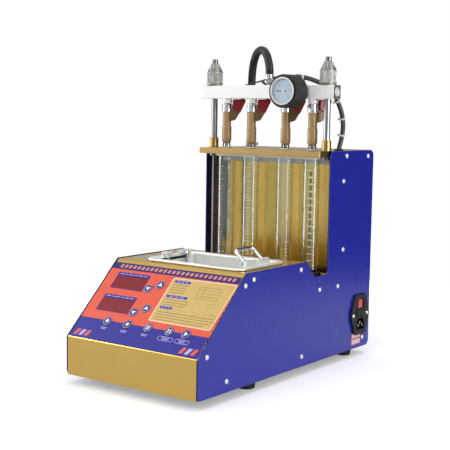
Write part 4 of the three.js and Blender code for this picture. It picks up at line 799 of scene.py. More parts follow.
def makePlate(c, look):
    bores = [disc2(c["postBore"], x, c["bank"], 32) for x in (-c["post"], c["post"])]
    bores += [disc2(look["nozzleBore"], x, c["bank"], 32) for x in tubeX]
    bores += [disc2(look["hoseBore"], *c["hose"], 32), disc2(look["harnessBore"], *c["harness"], 24)]
    sheet = box2(*look["size"], 0, look["middle"])
    plate = slab(sheet, c["plateBottom"], c["plateTop"], 0.7, bores, steps=3)
    piece("plate_top", [plate], "goldPlate", node="top_plate")


def makeScrews(c, look):
    head = screwHead(look["radius"], look["height"])
    for side, seed in (("right", 7), ("left", 11)):
        places = [(sides[side] * c["width"] / 2, y, z) for y, z in look["places"]]
        repeated("screws_" + side, "places", head.copy(), "aluminium", points=places,
                 stand=(0, 90 * sides[side], 0), seed=seed)
    places = [(x, c["rear"], z) for x in (-97, 0, 97) for z in (12, 278)]
    places += [(x, c["rear"], 145) for x in (-97, 97)]
    repeated("screws_rear", "places", head, "chrome", points=places, stand=(-90, 0, 0),
             seed=5)


def makeFeet(look):
    for i, (x, y) in enumerate(look["places"]):
        piece(f"foot_pad_{i + 1}", [turned(look["rubber"], 48), turned(look["washer"], 32, 1)],
              "rubber chrome", node=f"foot_{i + 1}", at=shift(x, y, -12))


makePanels(case, panelLook)
makeCover(case, coverLook)
makeRear(case, louvreLook)
makePlate(case, plateLook)
makeScrews(case, screwLook)
makeFeet(footLook)
print("case made")


# Ultrasonic basin, basket and bails
basinLook = {
    "rim": (80, 52.5, 14),
    "body": (72, 44.5, 10),
    # the pan's section from its underside over the rim to its floor: inset and height
    "section": [
        ("body", [(5, 82), (1.5, 82.8), (0.4, 84), (0, 87), (0, 142.3)]),
        ("rim", [(1.2, 142.3), (0.35, 142.6), (0, 143.4), (0, 144.3), (0.35, 145.15), (1.2, 145.5),
                 (6.6, 145.5), (8.4, 145.1), (9.1, 144.2), (9.2, 142.5)]),
        ("body", [(1.2, 88), (1.7, 85.2), (2.8, 83.9), (6, 83.2)]),
    ],
}
basketLook = {
    "half": (69.2, 41.7, 7.2), "bottom": 88.5, "top": 144.3, "ear": 68.6, "earTop": 152, "eye": 148,
    "wire": 2.4,
    # the wall's section: inset, and height over the bottom or under the top
    "low": [(1.2, 0), (0.35, 0.35), (0, 1.5)],
    "high": [(0, -2.6), (-0.7, -2.3), (-0.8, -1.3), (-0.6, -0.4), (-0.1, 0), (0.8, 0), (1.15, -0.4),
             (1.2, -1.2)],
    "inner": [(1.2, 1.6), (1.6, 1.2)],
}
bailLook = {"right": (79, -48), "left": (-49, 180)}


def squareRing(half, inset, z):
    w, d, corner = half
    return [(p.x, p.y, z) for p in box2(2 * (w - inset), 2 * (d - inset), max(0.5, corner - inset), steps=8)]


def makeBasin(look):
    pan = lofted([squareRing(look[part], inset, z) for part, rows in look["section"] for inset, z in rows])
    piece("basin_pan", [pan], "basinSteel", node="tank_basin", at=shift(*case["basin"], 0))


def makeBasket(look):
    half, low, ear, eye, high = (look[key] for key in ("half", "bottom", "ear", "eye", "earTop"))
    bands = ((low, "low"), (look["top"], "high"), (low, "inner"))
    wall = [squareRing(half, inset, base + rise) for base, part in bands for inset, rise in look[part]]
    wall = lofted(wall, closed=True)
    slots = [box2(11.6, 30, 2, (column - 2.5) * 20.67, (row - 0.5) * 34.5) for column in range(6)
             for row in range(2)]
    shells = [wall, slab(box2(2 * half[0] - 1.6, 2 * half[1] - 1.6, half[2] - 0.8), low, low + 1.2, 0.3,
                         slots)]
    for sx in (-1, 1):
        for sy in (-1, 1):
            shells.append(moved(slab(box2(8, 8, 1), low - 5, low + 0.6, 0.5), shift(sx * 54, sy * 26.5, 0)))
        tab = slab(arcs([(-28, 139.1), (28, 139.1), (28, high, 7), (-28, high, 7)], 8), -0.6, 0.6, 0.35,
                   [box2(11, 6, 2.9, 0, eye)])
        shells.append(moved(tab, shift(sx * ear, 0, 0) @ seenFromSide))
        for sy in (-1, 1):
            # a lug folded round the bail's end
            lug = arcs([(0, 144), (-sx * 8.6, 144, 3.9), (-sx * 8.6, high, 3.9), (0, high)], 8)
            lug = slab(lug, -2.5, 2.5, 0.4, [disc2(2.7, -sx * 4.6, eye, 24)])
            shells.append(moved(lug, shift(sx * ear, sy * 25.2, 0) @ seenFromFront))
    piece("basket_tray", shells, "basinSteel", "basket", "tank_basket",
          shift(*case["basin"], 0))
    path = bent([(0, -27.4, 0), (0, -20, 0, 2.4), (0, -20, 24, 8), (0, 20, 24, 8), (0, 20, 0, 2.4),
                 (0, 27.4, 0)])
    for side, (x, lean) in bailLook.items():
        piece("bail_grip_" + side, [swept(path, look["wire"], 20, 0.5)], "chrome",
              "bail_" + side, "basket_bail_" + side, shift(x, case["basin"][1], eye) @ about("Y", lean))


makeBasin(basinLook)
makeBasket(basketLook)
print("basin and basket made")


# Membrane panel on the slope: printed film, display windows and nine keys
filmLook = {"low": 1.5, "high": 125.97, "face": 0.5, "windows": [(-60, 57.5), (-60, 94.5)],
            "window": (53, 20.5), "headerWords": (7, 4, 9, 5, 8, 6), "keyHole": 6.75, "notch": 6.9,
            "bandTop": 33, "fieldTop": 115}
keyLook = {"radius": 6.5, "height": 0.75, "top": 1.3}
keyPlaces = {
    "upper_down": (-25.04, 89.94), "upper_up": (-9.05, 98.0), "lower_down": (-25.04, 51.02),
    "lower_up": (-9.05, 59.96), "drain": (-56.81, 32.0), "light": (-22.93, 32.0), "mode": (10.94, 32.5),
    "pause": (45.03, 32.5), "start": (70.9, 32.5),
}
# a key's symbol as flat outlines; the light's is a plain disc
keyMarks = {
    "start": [arcs([(-2.1, -3.7, 0.3), (3.7, 0, 0.3), (-2.1, 3.7, 0.3)], 3)],
    "pause": [box2(1.8, 6.4, 0.3, dx, 0) for dx in (-1.8, 1.8)],
    "mode": [box2(6.6, 1.3, 0.3, 0, dy) for dy in (-2.3, 0, 2.3)],
    "drain": [arcs([(-2.8, 0.6, 0), (-2.7, -2.4, 1.8), (2.7, -2.4, 1.8), (2.8, 0.6, 0), (0, 4.2, 0.3)], 4)],
    "up": [arcs([(-3.8, -2.1, 0.3), (3.8, -2.1, 0.3), (0, 3.7, 0.3)], 3)],
    "down": [arcs([(-3.8, 2.1, 0.3), (3.8, 2.1, 0.3), (0, -3.7, 0.3)], 3)],
}
inks = ("inkNavy inkBlue inkOrange inkLavender inkYellow inkCream inkOlive inkPink "
        "displayRed displayDark").split()
navy, blue, orange, lavender, yellow, cream, olive, pink, display, segment = range(len(inks))
# each digit's seven bars: place and size
segments = [(0, 6.6, 5.6, 1.3), (0, 0, 5.6, 1.3), (0, -6.6, 5.6, 1.3)]
segments += [(sx * 3.6, sy * 3.3, 1.3, 5) for sx, sy in ((-1, 1), (1, 1), (-1, -1), (1, -1))]


def patch(outline, layer, ink, holes=()):
    # one printed area; a layer of ink is drawn a twentieth of a millimetre thick
    low = filmLook["face"] + 0.05 * (layer - 1)
    return slab(outline, low - 0.02, low + 0.05, 0, holes, ink)


def bars(layer, ink, *rows):
    # printed bars: width, height, corner, x and y
    return [patch(box2(*row), layer, ink) for row in rows]


def frameOf(width, height, line, x, y, radius, layer, ink):
    return patch(box2(width, height, radius, x, y), layer, ink,
                 [box2(width - 2 * line, height - 2 * line, max(0.1, radius - line), x, y)])


def notched(low, high, ink, holes):
    # a printed area across the film, cut out round the bottom keys, which stand half over the orange field
    edge = case["inner"] / 2 - 0.2
    area = patch(arcs([(-edge, low), (edge, low), (edge, high), (-edge, high)]), 1, ink, holes)
    whole = bare("area", [area], place=Matrix())
    discs = [slab(disc2(filmLook["notch"], x, y, 40), 0, 3, 0) for x, y in keyPlaces.values() if y < 40]
    return painted(meshOf(without(whole, discs, Matrix())), lambda at, normal: ink)


def makeWindows(look):
    shells = []
    words = look["headerWords"]
    for x, y in look["windows"]:
        shells.append(frameOf(54.8, 26.8, 0.9, x, y + 2.4, 0.8, 2, blue))
        shells += bars(2, blue, (53.4, 4.4, 0.4, x, y + 12.8))
        # the header strip: plain bars where the maker's has words
        for k, width in enumerate(words):
            start = x - 24 + sum(words[:k]) + 1.6 * k
            shells += bars(3, lavender, (width, 1.1, 0.4, start + width / 2, y + 13.1))
        # four seven-segment digits, unlit
        for digit in range(4):
            cx = x - 18.9 + 12.6 * digit
            shells += [slab(box2(sw, sh, 0.4, cx + dx, y + dy), 0.4, 0.46, 0, finish=segment)
                       for dx, dy, sw, sh in segments]
    return shells


def makeTable():
    # the yellow table of settings: ruled lines and plain pills
    grounds = ((((4, 43), (101, 42.5), (105, 114), (5, 112.4)), 2.5, 2, cream),
               (((5.2, 44.2), (99.9, 43.7), (103.7, 112.8), (6.2, 111.2)), 2, 3, yellow))
    shells = [patch(arcs([(*corner, radius) for corner in corners], 5), layer, ink)
              for corners, radius, layer, ink in grounds]
    for x, y, width in ((22.4, 107, 27), (26.5, 83.4, 35), (19.6, 65.5, 21)):
        shells += bars(4, lavender, (width, 4.8, 2.3, x, y)) + bars(5, blue, (width - 1.2, 3.6, 1.7, x, y))
        shells += bars(6, lavender, *[(width / 4 - 2.4, 1.2, 0.4, x + (k - 1) * width / 4, y)
                                      for k in range(3)])
    shells += bars(4, olive, *[(width, 0.9, 0.3, 9.5 + width / 2, y) for width, y in (
        (26, 101.6), (22, 97.6), (25, 93.6), (24, 89.6), (38, 78), (40, 74), (36, 70.2), (88, 58.6),
        (91, 54.6), (86, 50.6), (80, 46.8))])
    shells.append(frameOf(34, 19, 0.6, 70, 94.6, 0.6, 4, olive))
    rules = [(33, 0.5, 0.1, 70, 89.8 + 4.8 * k) for k in range(3)] + [(0.5, 18, 0.1, 62, 94.6)]
    shells += bars(4, olive, *rules)
    return shells + [frameOf(2.6 * r, 1.4 * r, 0.5, x, y, 0.65 * r, 4, olive)
                     for x, y, r in ((84, 77.6, 4.4), (66.5, 62.5, 3.4), (94, 62.5, 3.4))]


def makePanel(look):
    width = case["inner"]
    low, high = look["low"], look["high"]
    windows = [box2(*look["window"], 0.8, x, y) for x, y in look["windows"]]
    keys = [disc2(look["keyHole"], x, y, 40) for x, y in keyPlaces.values()]
    shells = [slab(box2(width, high - low, 0.6, 0, (low + high) / 2), 0.1, look["face"], 0.1, windows + keys)]
    shells += [slab(box2(52.8, 20.3, 0.7, x, y), 0.1, 0.42, 0.1, finish=display) for x, y in look["windows"]]
    frames = [box2(54.9, 26.9, 0.9, x, y + 2.4) for x, y in look["windows"]]
    pairHoles = [disc2(look["keyHole"], x, y, 40) for x, y in keyPlaces.values() if y > 40]
    shells.append(notched(1.7, look["bandTop"], blue, []))
    shells.append(notched(look["bandTop"], look["fieldTop"], orange, frames + pairHoles))
    shells += makeWindows(look)
    # a thin rule joins each pair of keys
    for pair in ("upper", "lower"):
        a, b = (Vector(keyPlaces[pair + end]) for end in ("_down", "_up"))
        along = (b - a).normalized()
        across = Vector((-along.y, along.x)) * 0.35
        a, b = a + along * look["notch"], b - along * look["notch"]
        shells.append(patch([a - across, b - across, b + across, a + across], 2, navy))
    # the title strip: plain slanted bars in place of a name
    shells += bars(1, navy, (width - 6, 7.6, 1.5, 0, 120.6))
    shells += [patch(arcs([(x, 118), (x + 4.2, 118), (x + 5.6, 123.2), (x + 1.4, 123.2)]), 2, pink)
               for x in (-92 + 7.4 * k for k in range(26))]
    shells += makeTable()
    # pale label bars under the bottom keys, two of them ringed
    for name, size, ringed in (("drain", 16, 0), ("light", 17, 0), ("mode", 16, 0), ("pause", 20, 1),
                               ("start", 18, 1)):
        x = keyPlaces[name][0]
        if ringed:
            shells.append(frameOf(size + 4, 6.4, 0.6, x, 21, 3.1, 2, lavender))
        shells += bars(2, lavender, (size * 0.62, 0.9, 0.3, x, 22.0), (size * 0.5, 0.9, 0.3, x, 20.0))
    # a generic slanted motif in each lower corner
    for middle in (-86, 87):
        for x, tone in zip((middle - 13, middle - 4, middle + 5), (orange, lavender, orange)):
            shells.append(patch(arcs([(x, 5), (x + 5.5, 5), (x + 9.5, 14), (x + 4, 14)]), 2, tone))
    piece("panel_film", shells, " ".join(inks), node="control_film", at=onSlope)


def makeKeys(look):
    r, top = look["radius"], look["top"]
    low, high = top - 0.3, top - 0.02
    for name, (x, y) in keyPlaces.items():
        dome = turned([(0, top - look["height"]), (r, top - look["height"], 0.1), (r, top - 0.35, 0.3),
                       (r - 2.2, top - 0.12, 0.5), (0, top - 0.1)], 48)
        ringMark = turned([(r - 1.1, top - 0.2), (r - 0.5, top - 0.2), (r - 0.5, top - 0.12),
                           (r - 1.1, top - 0.06)], 48, 1, closed=True)
        if name == "light":
            marks = [turned([(0, low), (2.6, low), (2.6, high), (0, high)], 24, 2)]
        else:
            marks = [slab(outline, low, high, 0, finish=2) for outline in keyMarks[name.split("_")[-1]]]
        piece("key_" + name, [dome, ringMark] + marks, "inkNavy inkLavender whiteNylon", name,
              "button_" + name, onSlope @ shift(x, y, 0))


makePanel(filmLook)
makeKeys(keyLook)
print("panel made")


# Mains inlet on the right-hand side, and the plain label below it
def makeInlet(look):
    right = case["width"] / 2
    y = look["y"]
    label = [slab(box2(27, 18, 1, y - 6.5, 14.5, 3), right - 0.02, right + 0.12, 0)]
    label += [slab(box2(24, 6.5, 0.6, y - 6.5, z, 3), right + 0.05, right + 0.16, 0, finish=1)
              for z in (18.8, 10.2)]
    piece("side_label", label, "labelRed labelPink", at=seenFromSide)
    pins = [slab(box2(2, 4, 0.3, y + dy, z), right - 1.4, right + 3.2, 0.3)
            for dy, z in ((-1, 38.4), (-5.5, 34.2), (5.5, 34.2))]
    piece("inlet_pins", pins, "chrome", at=seenFromSide)
    softened("power_inlet", "inlet_housing", "blackPlastic", "case", 0.35)
    softened("fuse_drawer", "inlet_drawer", "blackPlastic", "drawer", 0.4)
    softened("rocker_switch", "inlet_rocker", "redPlastic", "rocker", 0.5, 3)
    places = [(110.5, y + dy, look["z"]) for dy in (-20, 20)]
    repeated("screws_inlet", "places", screwHead(3.2, 1.4), "chrome", points=places,
             stand=(0, 90, 0), seed=3)


makeInlet(inletLook)
print("inlet made")


# Posts, collars, tubes and gaskets
postLook = {
    "rod": [(0, 276.7), (6.2, 276.7, 0.5), (6.2, 280.7, 0.3), (4.5, 280.7), (4.5, 405, 0.8), (0, 405)],
    "headTop": 280.7,
    "collar": [(4.8, 289.7, 0.2), (6.5, 289.7, 0.4), (6.5, 301.6, 0.3), (6.1, 302.0, 0.2), (6.5, 302.4, 0.3),
               (6.5, 303.9, 0.6), (4.8, 303.9, 0.3)],
}


def makePosts(look):
    for side, sign in sides.items():
        at = onBank(sign * case["post"])
        # the head, under the plate, takes the dark steel: painted shade
        post = painted(turned(look["rod"], 48), lambda at, normal: 1 if at.z < look["headTop"] + 0.1 else 0)
        piece("post_rod_" + side, [post], "groundSteel darkSteel", node="post_" + side,
              at=at)
        piece("collar_" + side, [turned(look["collar"], 48, closed=True)], "brass",
              node="post_collar_" + side, at=at)


# the third tube has turned its scale to the back
tubeLook = {"radius": 12, "wall": 2, "low": 116.6, "high": 277.4, "tickPitch": 9.7, "ticks": 14,
            "firstTick": 136, "scaleTurn": [-85, -71, 105, -62]}


def band(radius, middle, half, rise):
    # a printed stroke that lies on a round wall
    turns = [math.radians(middle - half + k * half / 3) for k in range(7)]
    return lofted([[((radius + out) * math.cos(a), (radius + out) * math.sin(a), z)
                    for out, z in ((0, -rise), (0.06, -rise), (0.06, rise), (0, rise))] for a in turns])


def makeTubes(look):
    r, bore, low, high = look["radius"], look["radius"] - look["wall"], look["low"], look["high"]
    pitch, count, first = look["tickPitch"], look["ticks"], look["firstTick"]
    for i, x in enumerate(tubeX):
        ring = turned([(bore, low, 0.7), (r, low, 0.7), (r, high, 0.7), (bore, high, 0.7)], 96, closed=True)
        piece(f"glass_tube_{i + 1}", [ring], "glass", node=f"test_tube_{i + 1}", at=onBank(x))
        marks = [(f"graduations_short_{i + 1}", 8, 0.3, "whiteNylon", count * 2 - 1, pitch / 2, first),
                 (f"graduations_long_{i + 1}", 15, 0.3, "whiteNylon", count, pitch, first)]
        if i == 3:
            marks.append(("graduation_dashes", 7, 2.6, "scaleInk", count - 1, pitch, first + pitch / 2))
        for name, half, rise, ink, number, step, start in marks:
            repeated(name, "row", band(r + 0.02, look["scaleTurn"][i], half, rise), ink,
                     count=number, step=(0, 0, step), place=onBank(x, start))
    strip = box2(180, 32, 15.7, 0, 0, 12)
    shells = [slab(strip, 113.3, 116.4, 0.4, [disc2(8, x, 0, 40) for x in tubeX]),
              slab(strip, 116.4, 119.3, 0.4, [disc2(12.3, x, 0, 64) for x in tubeX])]
    piece("gasket_lower", shells, "rubber", node="tube_gasket", at=onBank(0))
    upper = slab(box2(180, 28, 13.7, 0, 0, 12), 277.7, 280.7, 0.4, [disc2(4.2, x, 0, 32) for x in tubeX])
    piece("gasket_upper", [upper], "opal", node="plate_gasket", at=onBank(0))


makePosts(postLook)
makeTubes(tubeLook)
print("tubes made")


# Injectors with their plugs
injectorLook = {
    "turn": [36, 36, 36, 66],
    "arm": [(1.89, 38), (7.94, 39.3), (12.29, 40.6), (13.99, 42.84), (18.9, 51.39), (6.99, 56.6),
            (1.89, 50.09)],
    "plug": [(7.67, 56.5), (19.43, 50.7), (27.58, 68.13), (26.6, 70.6), (9.24, 70.6), (8.12, 69.65)],
}
injectorFinishes = "tanShell tanArm chrome blackPlastic whiteNylon darkSteel"
tan, brown, bright, black, white, dark = range(6)
# what is turned: profile, sides, finish, and whether it closes on itself
injectorTurned = [
    ([(0, 7.6), (5.2, 7.6, 0.5), (7, 9.9, 0.6), (7, 30, 0.5), (6.2, 31.5, 0.4), (6.2, 51.9, 0.4), (5.9, 52.5),
      (0, 52.5)], 64, tan),
    ([(0, 52.2), (6.6, 52.2), (7.1, 53, 0.3), (7.1, 60.2, 0.2), (6.6, 60.6, 0.1), (7.1, 61.0, 0.2),
      (7.1, 64, 0.4), (5.3, 64.4), (0, 64.4)], 64, bright),
    # spigot and its seal
    ([(0, 64.3), (4.4, 64.3), (4.4, 68.5, 0.4), (0, 68.5)], 48, bright),
    ([(4.3, 65), (5.2, 65.2, 0.7), (5.2, 67.2, 0.7), (4.3, 67.4)], 48, black, True),
    # seat, nozzle and nose
    ([(0, 0.3), (8, 0.3, 0.3), (8, 1.9, 0.4), (2.5, 1.9), (0, 1.9)], 64, white),
    ([(0, -5), (1.5, -5, 0.3), (1.9, -4.2, 0.2), (1.9, 7.8), (0, 7.8)], 32, dark),
    ([(0, 6.4), (4.6, 6.4, 0.3), (5.2, 7.8), (0, 7.8)], 48, dark),
]
injectorTurned += [([(6.0, z), (7.14, z, 0.1), (7.14, z + 0.5, 0.1), (6.0, z + 0.5)], 64, tan, True)
                   for z in (12.6, 14.2)]


def makeInjector(look, i, x):
    shells = [turned(*row) for row in injectorTurned]
    # four spring tabs of the clip that holds the injector in its cup, and four prongs
    shells += [moved(slab(box2(3.4, 9.4, 0.6), 6.9, 7.75, 0.2, finish=bright),
                     about("Z", 22 + 90 * k) @ shift(0, 0, 58.2) @ about("Z", -90) @ about("X", 90))
               for k in range(4)]
    shells += [moved(slab(box2(2.0, 2.4, 0.3), 0, 6.4, 0.25, finish=dark),
                     about("Z", 45 + 90 * k) @ shift(5.0, 0, 1.7) @ about("Y", -5)) for k in range(4)]
    onTurn = about("Z", look["turn"][i])
    arm = arcs([(*corner, 0.9 if 0 < k < 5 else 0.2) for k, corner in enumerate(look["arm"])], 4)
    rib = arcs([(6.5, 41.2), (12, 42.4), (16.4, 50.4), (8.4, 54)], 3)
    shells.append(moved(slab(arm, -5.75, 5.75, 0.8, finish=brown, steps=3), onTurn @ seenFromFront))
    shells.append(moved(slab(rib, -6.1, 6.1, 0.3, finish=brown), onTurn @ seenFromFront))
    at = onBank(x, case["plateTop"])
    piece(f"injector_body_{i + 1}", shells, injectorFinishes, node=f"injector_{i + 1}",
          at=at)
    # plug: body with its skirt over the arm's end, a raised latch, grips on its sides, a seal round the wires
    parts = [slab(arcs([(*corner, 1.1) for corner in look["plug"]], 4), -6.5, 6.5, 0.9, steps=3),
             slab(arcs([(10.4, 70.2), (22.6, 70.2), (22.0, 70.9, 0.3), (11.0, 70.9, 0.3)], 3), -3.4, 3.4,
                  0.25)]
    for along in (0, 3, 6):
        grip = [(12 + along, 60), (13.2 + along, 59.4), (15.8 + along, 67), (14.6 + along, 67.6)]
        parts.append(slab(arcs(grip, 3), -6.8, 6.8, 0.2))
    boot = turned([(0, -1), (3.4, -1, 0.3), (3.4, 1.2, 0.4), (2.7, 1.6, 0.2), (2.9, 2.6, 0.4), (0, 2.6)],
                  32, 1)
    shells = [moved(part, seenFromFront) for part in parts] + [moved(boot, shift(22.9, 0, 70.2))]
    piece(f"injector_plug_{i + 1}", shells, "redPlug cable", at=at @ onTurn)


for i, x in enumerate(tubeX):
    makeInjector(injectorLook, i, x)
print("injectors made")


# Rail, clamps, gauge and the hose's fittings
railLook = {"half": 112, "size": 19, "low": 361, "high": 380, "cup": 7.3, "cupHeight": 6.8, "bore": 370.5}


def makeRail(look):
    half, low, cup, deep = look["half"], look["low"], look["cup"], look["cupHeight"]
    section = box2(look["size"], look["size"], 1.2, case["bank"], (low + look["high"]) / 2, 4)
    bar = moved(slab(section, -half, half, 0.6, steps=3), seenFromSide)
    bar = bare("rail_bar", [painted(bar, lambda at, normal: 1 if abs(normal.x) > 0.9 else 0)],
               "aluminium satin")
    tools = [moved(slab(disc2(case["postBore"]), 355, 390, 0), onBank(x))
             for x in (-case["post"], case["post"])]
    tools += [moved(slab(disc2(5.5), 350, 362.6, 0), onBank(x)) for x in tubeX]
    tools += [moved(moved(turned([(0, -2), (6.4, -2), (6.4, 3), (0, 3)], 32), about("Y", 90)),
                    onBank(sign * half, look["bore"])) for sign in (-1, 1)]
    handed(flattened(without(bar, tools)), "rail", "rail")
    cups = [moved(turned([(5.5, -deep, 0.2), (cup, -deep, 0.5), (cup, -2.2, 0.3), (6.9, -1.9, 0.1),
                          (cup, -1.5, 0.2), (cup, 0.3), (5.5, 0.3)], 64, closed=True), onBank(x, low))
            for x in tubeX]
    piece("rail_cups", cups, "aluminium", "rail")
    # a threaded plug with a hexagon socket, sunk in each end of the bar
    plugs = [moved(turned([(0, -1.9), (6.1, -1.9), (6.1, -0.5, 0.5), (2.9, -0.5, 0.3), (2.6, -1.7),
                           (0, -1.7)], 48), onBank(sign * half, look["bore"]) @ about("Y", 90 * sign))
             for sign in (-1, 1)]
    piece("rail_end_plugs", plugs, "aluminium", "rail")


clampLook = {"radius": 11.8, "sleeve": 17.5, "cone": 12, "coneFoot": 11.3, "coneTop": 5.6, "scoop": 1.4,
             "jaw": 4.2, "jawBore": 2.1, "jawHeight": 6, "flutes": 6, "sides": 144}


def coneRing(look, share, z):
    # one ring of the cone, scooped by its flutes
    plain = look["coneFoot"] + (look["coneTop"] - look["coneFoot"]) * share
    fade = 1 if share < 0.9 else (1.0 - share) / 0.1
    scoop = look["scoop"] * math.sin(min(1.0, share * 1.35) * math.pi / 2) * fade
    ring = []
    for s in range(look["sides"]):
        angle = 2 * math.pi * s / look["sides"]
        radius = plain - scoop * max(0.0, math.cos(angle * look["flutes"])) ** 1.3
        ring.append((radius * math.cos(angle), radius * math.sin(angle), z))
    return ring


def makeClamps(look):
    wide, jaw, foot = look["radius"], look["jaw"], look["coneFoot"]
    shoulder = 2 + look["sleeve"] + 0.6
    top = shoulder + look["cone"]
    for side, sign in sides.items():
        at = onBank(sign * case["post"], 380.3)
        base = turned([(4.8, 0, 0.2), (wide, 0, 0.5), (wide, 2, 0.5), (8.9, 2), (8.9, shoulder + 0.4),
                       (4.8, shoulder + 0.4)], 64, closed=True)
        cone = lofted([coneRing(look, k / 12, shoulder + look["cone"] * (k / 12)) for k in range(13)])
        jaws = []
        for k in range(3):
            start, end = 120 * k + 11, 120 * k + 109
            outline = sweep2(jaw, start, end, 10) + sweep2(look["jawBore"], end, start, 6)
            jaws.append(slab(outline, top - 0.6, top + look["jawHeight"], 0.45, finish=1))
        piece("clamp_body_" + side, [base, cone] + jaws, "satin darkSteel", "clamp_" + side,
              "clamp_" + side, at)
        at = at @ shift(0, 0, 2.3)
        high = look["sleeve"]
        sleeve = [turned([(9.2, 0, 0.3), (foot, 0, 0.5), (foot, high, 0.5), (9.2, high, 0.3)],
                         72, closed=True)]
        sleeve += [turned([(11.0, z), (11.75, z, 0.3), (11.75, z + 1.5, 0.3), (11.0, z + 1.5)],
                          72, closed=True) for z in (0.1, 15.9)]
        piece("sleeve_ring_" + side, sleeve, "satinPale", "sleeve_" + side,
              "clamp_sleeve_" + side, at)
        tooth = slab(arcs([(11.1, -0.42), (11.72, 0, 0.1), (11.1, 0.42)], 2), 1.7, 15.8, 0.15)
        repeated("sleeve_knurl_" + side, "ring", tooth, "satinPale", "sleeve_" + side, at,
                 count=60, stepAngle=6)


gaugeLook = {"x": 51, "z": 370.5, "front": 287.5, "reach": 33, "bezel": 19.1, "face": 35.6, "dial": 16.9,
             "floor": 30.6, "figures": 7, "firstAngle": -45, "figureAngle": 45, "figureRadius": 10.2}


def figureOf(text):
    # one plain number of the dial
    data = bpy.data.curves.new("figure", "FONT")
    data.body = text
    data.size = 3.4
    data.align_x = data.align_y = "CENTER"
    data.extrude = 0.03
    data.resolution_u = 2
    mesh = meshOf(settled(linked("figure", data)))
    bmesh.ops.remove_doubles(mesh, verts=mesh.verts, dist=1e-5)
    return mesh


def makeGauge(look):
    # drawn facing up, then laid to face the user
    at = shift(look["x"], look["front"], look["z"]) @ about("X", 90)
    reach, bezel, face, dial, floor = (look[key] for key in ("reach", "bezel", "face", "dial", "floor"))
    first, step = look["firstAngle"], look["figureAngle"]
    boot = turned([(5.3, 0.3, 0.2), (20, 0.3, 1.5), (22.4, 5.4, 1.5), (22.4, 30.2, 0.4), (23, 30.6, 0.5),
                   (23, 32.2, 0.6), (22.4, reach, 0.4), (bezel + 0.3, reach, 0.3), (bezel + 0.3, 31),
                   (21.4, 31), (21.4, 2.8), (5.3, 2.8)], 96, closed=True)
    piece("gauge_boot_rubber", [boot], "rubber", "rail", "gauge_boot", at)
    rib = slab(box2(1.0, 5.6, 0.45, 22.5, 0), 5.6, 29.6, 0.4, steps=3)
    repeated("gauge_boot_ribs", "ring", rib, "rubber", "rail", at, count=12, stepAngle=30)
    body = turned([(0, 0.3), (5, 0.3), (5, 3), (21.1, 3, 0.4), (21.1, 30.7), (bezel, 30.7),
                   (bezel, face - 0.7, 0.2), (bezel - 0.7, face, 0.3), (dial + 0.2, face, 0.2),
                   (dial, face - 0.4), (dial, floor), (0, floor)], 96)

    def pickFace(point, normal):
        # the dial, then the black flanks, then the white ring
        if abs(point.z - floor) < 0.05 and point.xy.length < dial - 0.1:
            return 1
        return 2 if point.z < face - 0.5 and point.xy.length > dial + 0.5 else 0

    piece("gauge_body", [painted(body, pickFace)], "enamel dialPaper blackPlastic", "rail",
          "gauge_case", at)
    for kind, length, width, count, gap in (("long", 3.0, 0.55, 7, step), ("short", 1.7, 0.3, 31, 9)):
        tick = slab(box2(length, width, 0, 15.2 - length / 2, 0), floor - 0.02, floor + 0.06, 0)
        repeated("gauge_ticks_" + kind, "ring", tick, "dialInk", "rail", at, count=count,
                 startAngle=first, stepAngle=gap)
    shells = [slab(sweep2(16.2, -45, 225, 45) + sweep2(15.4, 225, -45, 45), floor - 0.04, floor + 0.04, 0)]
    for k in range(look["figures"]):
        place = Vector((look["figureRadius"], 0)) @ Matrix.Rotation(-math.radians(first + step * k), 2)
        shells.append(moved(figureOf(str(12 - 2 * k)), shift(*place, floor + 0.02)))
    piece("gauge_scale", shells, "dialInk", "rail", at=at)
    hub = turned([(0, floor + 0.3), (2.4, floor + 0.3, 0.2), (2.4, floor + 1.4, 0.4), (1.2, floor + 1.7, 0.3),
                  (0, floor + 1.7)], 40)
    pointer = slab(arcs([(5, -0.8), (5, 0.8), (0, 0.7), (-12.2, 0.25), (-13, 0), (-12.2, -0.25), (0, -0.7)]),
                   floor + 0.6, floor + 1.2, 0.1, finish=1)
    piece("gauge_pointer", [hub, pointer], "enamel blackPlastic", "needle", "gauge_needle",
          at)
    pane = turned([(0, face - 2.2), (dial - 0.3, face - 2.2, 0.2), (dial - 0.3, face - 1.2, 0.3),
                   (0, face - 1.2)], 64)
    piece("gauge_pane", [pane], "lens", "rail", "gauge_lens", at)


